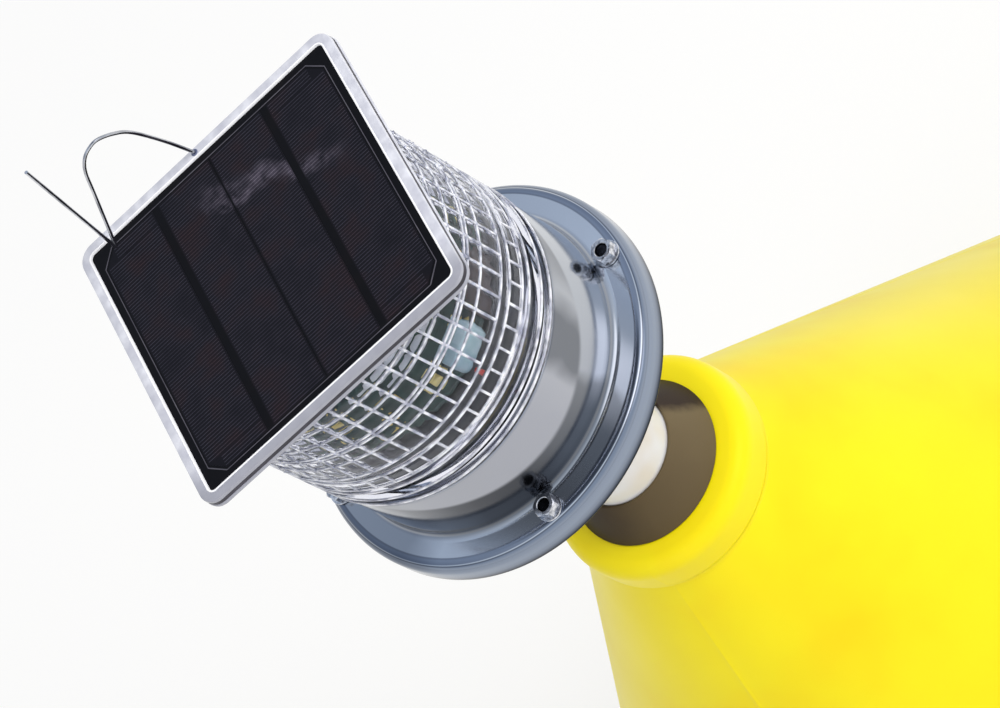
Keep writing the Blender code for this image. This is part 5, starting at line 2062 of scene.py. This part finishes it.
    def build_split_pin(self) -> None:
        """Makes the split pin that keeps the nut on: an eye on one side, two bent legs on the other."""
        across = (top_y("shackle_nut") + top_y("shackle_pin")) / 2
        wire, reach = self.split_wire, self.pin_radius
        lobe = 3.2 * wire
        shapes = []
        for sign in (-1, 1):
            leg = [Vector((sign * wire, across, reach + lobe))]
            for step in range(1, 7):
                turn = math.pi / 2 * step / 6
                leg.append(Vector((sign * wire * (1 + 1.6 * math.sin(2 * turn)), across, reach + lobe * math.cos(turn))))
            leg.append(Vector((sign * wire, across, -reach)))
            leg += [Vector((sign * (wire + lobe * share), across, -reach - lobe * math.sqrt(share))) for share in (0.3, 0.7, 1.2)]
            shapes.append(tube_shape([point + Vector((0, 0, self.pin_height())) for point in smoothed(leg, 3)], wire, 10))
        place_piece(joined("split_pin", shapes), ZINC, Body.SHACKLE, ())

    def build(self) -> None:
        """Makes the swivel and the shackle."""
        self.build_barrel()
        self.build_eye()
        self.build_bow()
        self.build_pin()
        self.build_split_pin()


@dataclass
class Studio:
    """The pale floor at the waterline, the soft lamps and the surroundings that metal and glass mirror."""

    floor_half: float = 16.0
    floor_colour: str = "#f2f2f2"
    shown_share: float = 0.62
    sky: str = "#b4c0d2"
    near_side: str = "#dfe6ef"
    overhead: str = "#3a3f49"
    window: tuple[float, float, float, float] = (1.7, 1.7, 1.76, 1.0)
    window_way: tuple[float, float, float] = (0.166, 0.621, 0.766)
    fill: float = 0.62

    def shown_rays(self, tree: bpy.types.NodeTree) -> bpy.types.NodeSocket:
        """Whether a ray comes from the camera, a mirror or glass.

        Args:
            tree: the floor's or the world's tree.

        Returns:
            A socket that is 1 for those rays.
        """
        path = add_node(tree, "ShaderNodeLightPath")
        first = add_node(tree, "ShaderNodeMath", {"operation": "MAXIMUM"})
        tree.links.new(path.outputs["Is Camera Ray"], first.inputs[0])
        tree.links.new(path.outputs["Is Glossy Ray"], first.inputs[1])
        second = add_node(tree, "ShaderNodeMath", {"operation": "MAXIMUM"})
        tree.links.new(first.outputs[0], second.inputs[0])
        tree.links.new(path.outputs["Is Transmission Ray"], second.inputs[1])
        return second.outputs[0]

    def build_floor(self) -> None:
        """Lays the floor, which shows white but keeps the buoy's shadow."""
        shape = bmesh.new()
        bmesh.ops.create_grid(shape, x_segments=1, y_segments=1, size=self.floor_half)
        mesh = bpy.data.meshes.new("studio_floor")
        shape.to_mesh(mesh)
        shape.free()
        floor = bpy.data.objects.new("studio_floor", mesh)
        bpy.context.scene.collection.objects.link(floor)
        material = bpy.data.materials.new("matt_white_floor")
        material.use_nodes = True
        tree = material.node_tree
        shader = tree.nodes["Principled BSDF"]
        shader.inputs["Base Color"].default_value = linear(self.floor_colour)
        shader.inputs["Roughness"].default_value = 0.9
        shader.inputs["Specular IOR Level"].default_value = 0.0
        glow = add_node(tree, "ShaderNodeEmission", None, {"Strength": 1.04})
        mix = add_node(tree, "ShaderNodeMixShader")
        share = add_node(tree, "ShaderNodeMath", {"operation": "MULTIPLY"}, {1: self.shown_share})
        tree.links.new(self.shown_rays(tree), share.inputs[0])
        tree.links.new(share.outputs[0], mix.inputs["Fac"])
        tree.links.new(shader.outputs[0], mix.inputs[1])
        tree.links.new(glow.outputs[0], mix.inputs[2])
        tree.links.new(mix.outputs[0], tree.nodes["Material Output"].inputs["Surface"])
        floor.data.materials.append(material)

    def build_world(self) -> None:
        """Makes the surroundings: white at the horizon, a pale ceiling with one bright window, dark overhead."""
        world = bpy.data.worlds.new("studio")
        world.use_nodes = True
        bpy.context.scene.world = world
        tree = world.node_tree
        tree.nodes.clear()
        way = add_node(tree, "ShaderNodeTexCoord").outputs["Generated"]
        parts = add_node(tree, "ShaderNodeSeparateXYZ", None, None, {"Vector": way})
        values = {"From Min": 0.10, "From Max": 0.45, "To Min": 0.0, "To Max": 1.0}
        settings = {"interpolation_type": "SMOOTHSTEP"}
        rise = add_node(tree, "ShaderNodeMapRange", settings, values, {"Value": parts.outputs["Z"]})
        lean = add_node(tree, "ShaderNodeVectorMath", {"operation": "DOT_PRODUCT"}, {1: (0.9, 0.43, 0.0)}, {0: way})
        values = {"From Min": -0.5, "From Max": 0.3, "To Min": 0.0, "To Max": 1.0}
        side = add_node(tree, "ShaderNodeMapRange", settings, values, {"Value": lean.outputs["Value"]})
        ceiling = add_node(tree, "ShaderNodeMix", {"data_type": "RGBA"}, None, {"Factor": side.outputs["Result"]})
        ceiling.inputs["A"].default_value = linear(self.sky)
        ceiling.inputs["B"].default_value = linear(self.near_side)
        whole = add_node(tree, "ShaderNodeMix", {"data_type": "RGBA"}, None, {"Factor": rise.outputs["Result"]})
        whole.inputs["A"].default_value = (1.0, 1.0, 1.0, 1.0)
        colour = ceiling.outputs["Result"]
        near = add_node(tree, "ShaderNodeVectorMath", {"operation": "DOT_PRODUCT"}, {1: self.window_way}, {0: way})
        spans = (
            (near.outputs["Value"], 0.90, 0.98, 1.0, self.window),
            (parts.outputs["Z"], 0.87, 0.95, 0.9, linear(self.overhead)),
        )
        for measure, low, high, most, tone in spans:
            values = {"From Min": low, "From Max": high, "To Min": 0.0, "To Max": most}
            factor = add_node(tree, "ShaderNodeMapRange", settings, values, {"Value": measure})
            links = {"Factor": factor.outputs["Result"], "A": colour}
            mix = add_node(tree, "ShaderNodeMix", {"data_type": "RGBA"}, None, links)
            mix.inputs["B"].default_value = tone
            colour = mix.outputs["Result"]
        tree.links.new(colour, whole.inputs["B"])
        seen = add_node(tree, "ShaderNodeBackground", None, {"Strength": 1.0}, {"Color": whole.outputs["Result"]})
        plain = add_node(tree, "ShaderNodeBackground", None, {"Strength": self.fill})
        plain.inputs["Color"].default_value = (1.0, 1.0, 1.0, 1.0)
        mix = add_node(tree, "ShaderNodeMixShader")
        tree.links.new(self.shown_rays(tree), mix.inputs["Fac"])
        tree.links.new(plain.outputs[0], mix.inputs[1])
        tree.links.new(seen.outputs[0], mix.inputs[2])
        out = add_node(tree, "ShaderNodeOutputWorld")
        tree.links.new(mix.outputs[0], out.inputs["Surface"])

    def build_lamps(self) -> None:
        """Hangs the soft lamps."""
        # Columns: name, place, side in metres, watts
        lamps = (
            ("key_softbox", (1.0, 2.6, 3.2), 2.4, 106.0),
            ("side_softbox", (2.4, -2.4, 2.2), 2.0, 22.0),
            ("low_softbox", (1.5, -1.2, -2.6), 2.4, 45.0),
        )
        for name, place, side, watts in lamps:
            data = bpy.data.lights.new(name, "AREA")
            data.shape = "SQUARE"
            data.size = side
            data.energy = watts
            lamp = bpy.data.objects.new(name, data)
            lamp.visible_glossy = False
            lamp.location = place
            aim = Vector((0, 0, 0.4 if place[2] > 0 else -0.3))
            lamp.rotation_mode = "QUATERNION"
            lamp.rotation_quaternion = (Vector(place) - aim).to_track_quat("Z", "Y")
            bpy.context.scene.collection.objects.link(lamp)

    def build(self) -> None:
        """Makes the floor, the surroundings and the lamps."""
        self.build_floor()
        self.build_world()
        self.build_lamps()
        bpy.context.scene.view_settings.view_transform = "Standard"


@dataclass
class StudioCamera:
    """The photograph's camera: high on the +X side with a long lens, rolled so that the mast points left."""

    place: tuple[float, float, float] = (1.16752, 0.57017, 2.17560)
    azimuth_degrees: float = 25.47
    elevation_degrees: float = 49.86
    roll_degrees: float = -61.94
    lens_mm: float = 170.88

    def build(self) -> None:
        """Sets up the camera and makes it the scene's."""
        azimuth, elevation = math.radians(self.azimuth_degrees), math.radians(self.elevation_degrees)
        level = Vector((math.cos(azimuth), math.sin(azimuth), 0)) * math.cos(elevation)
        back = level + Vector((0, 0, math.sin(elevation)))
        side = Vector((0, 0, 1)).cross(back).normalized()
        rise = back.cross(side)
        roll = math.radians(self.roll_degrees)
        right = side * math.cos(roll) + rise * math.sin(roll)
        up = back.cross(right)
        data = bpy.data.cameras.new("photo_camera")
        data.lens = self.lens_mm
        camera = bpy.data.objects.new("photo_camera", data)
        camera.matrix_world = Matrix.Translation(self.place) @ Matrix((right, up, back)).transposed().to_4x4()
        bpy.context.scene.collection.objects.link(camera)
        bpy.context.scene.camera = camera


def main() -> None:
    """Builds every sub-assembly in order."""
    logging.basicConfig(level=logging.INFO, format="%(name)s %(message)s")
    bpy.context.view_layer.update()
    StudioCamera().build()
    ring, ribbed, row = make_ring_tree(), make_ribbed_tree(), make_row_tree()
    Hull().build()
    Mast().build()
    LanternBase().build(ring)
    PrismLens().build(ring, ribbed)
    LampWorks().build(ring)
    SolarPanel().build(row)
    BirdWire().build()
    Tail().build(ring, ribbed)
    Mooring().build()
    Studio().build()


if __name__ == "__main__":
    main()
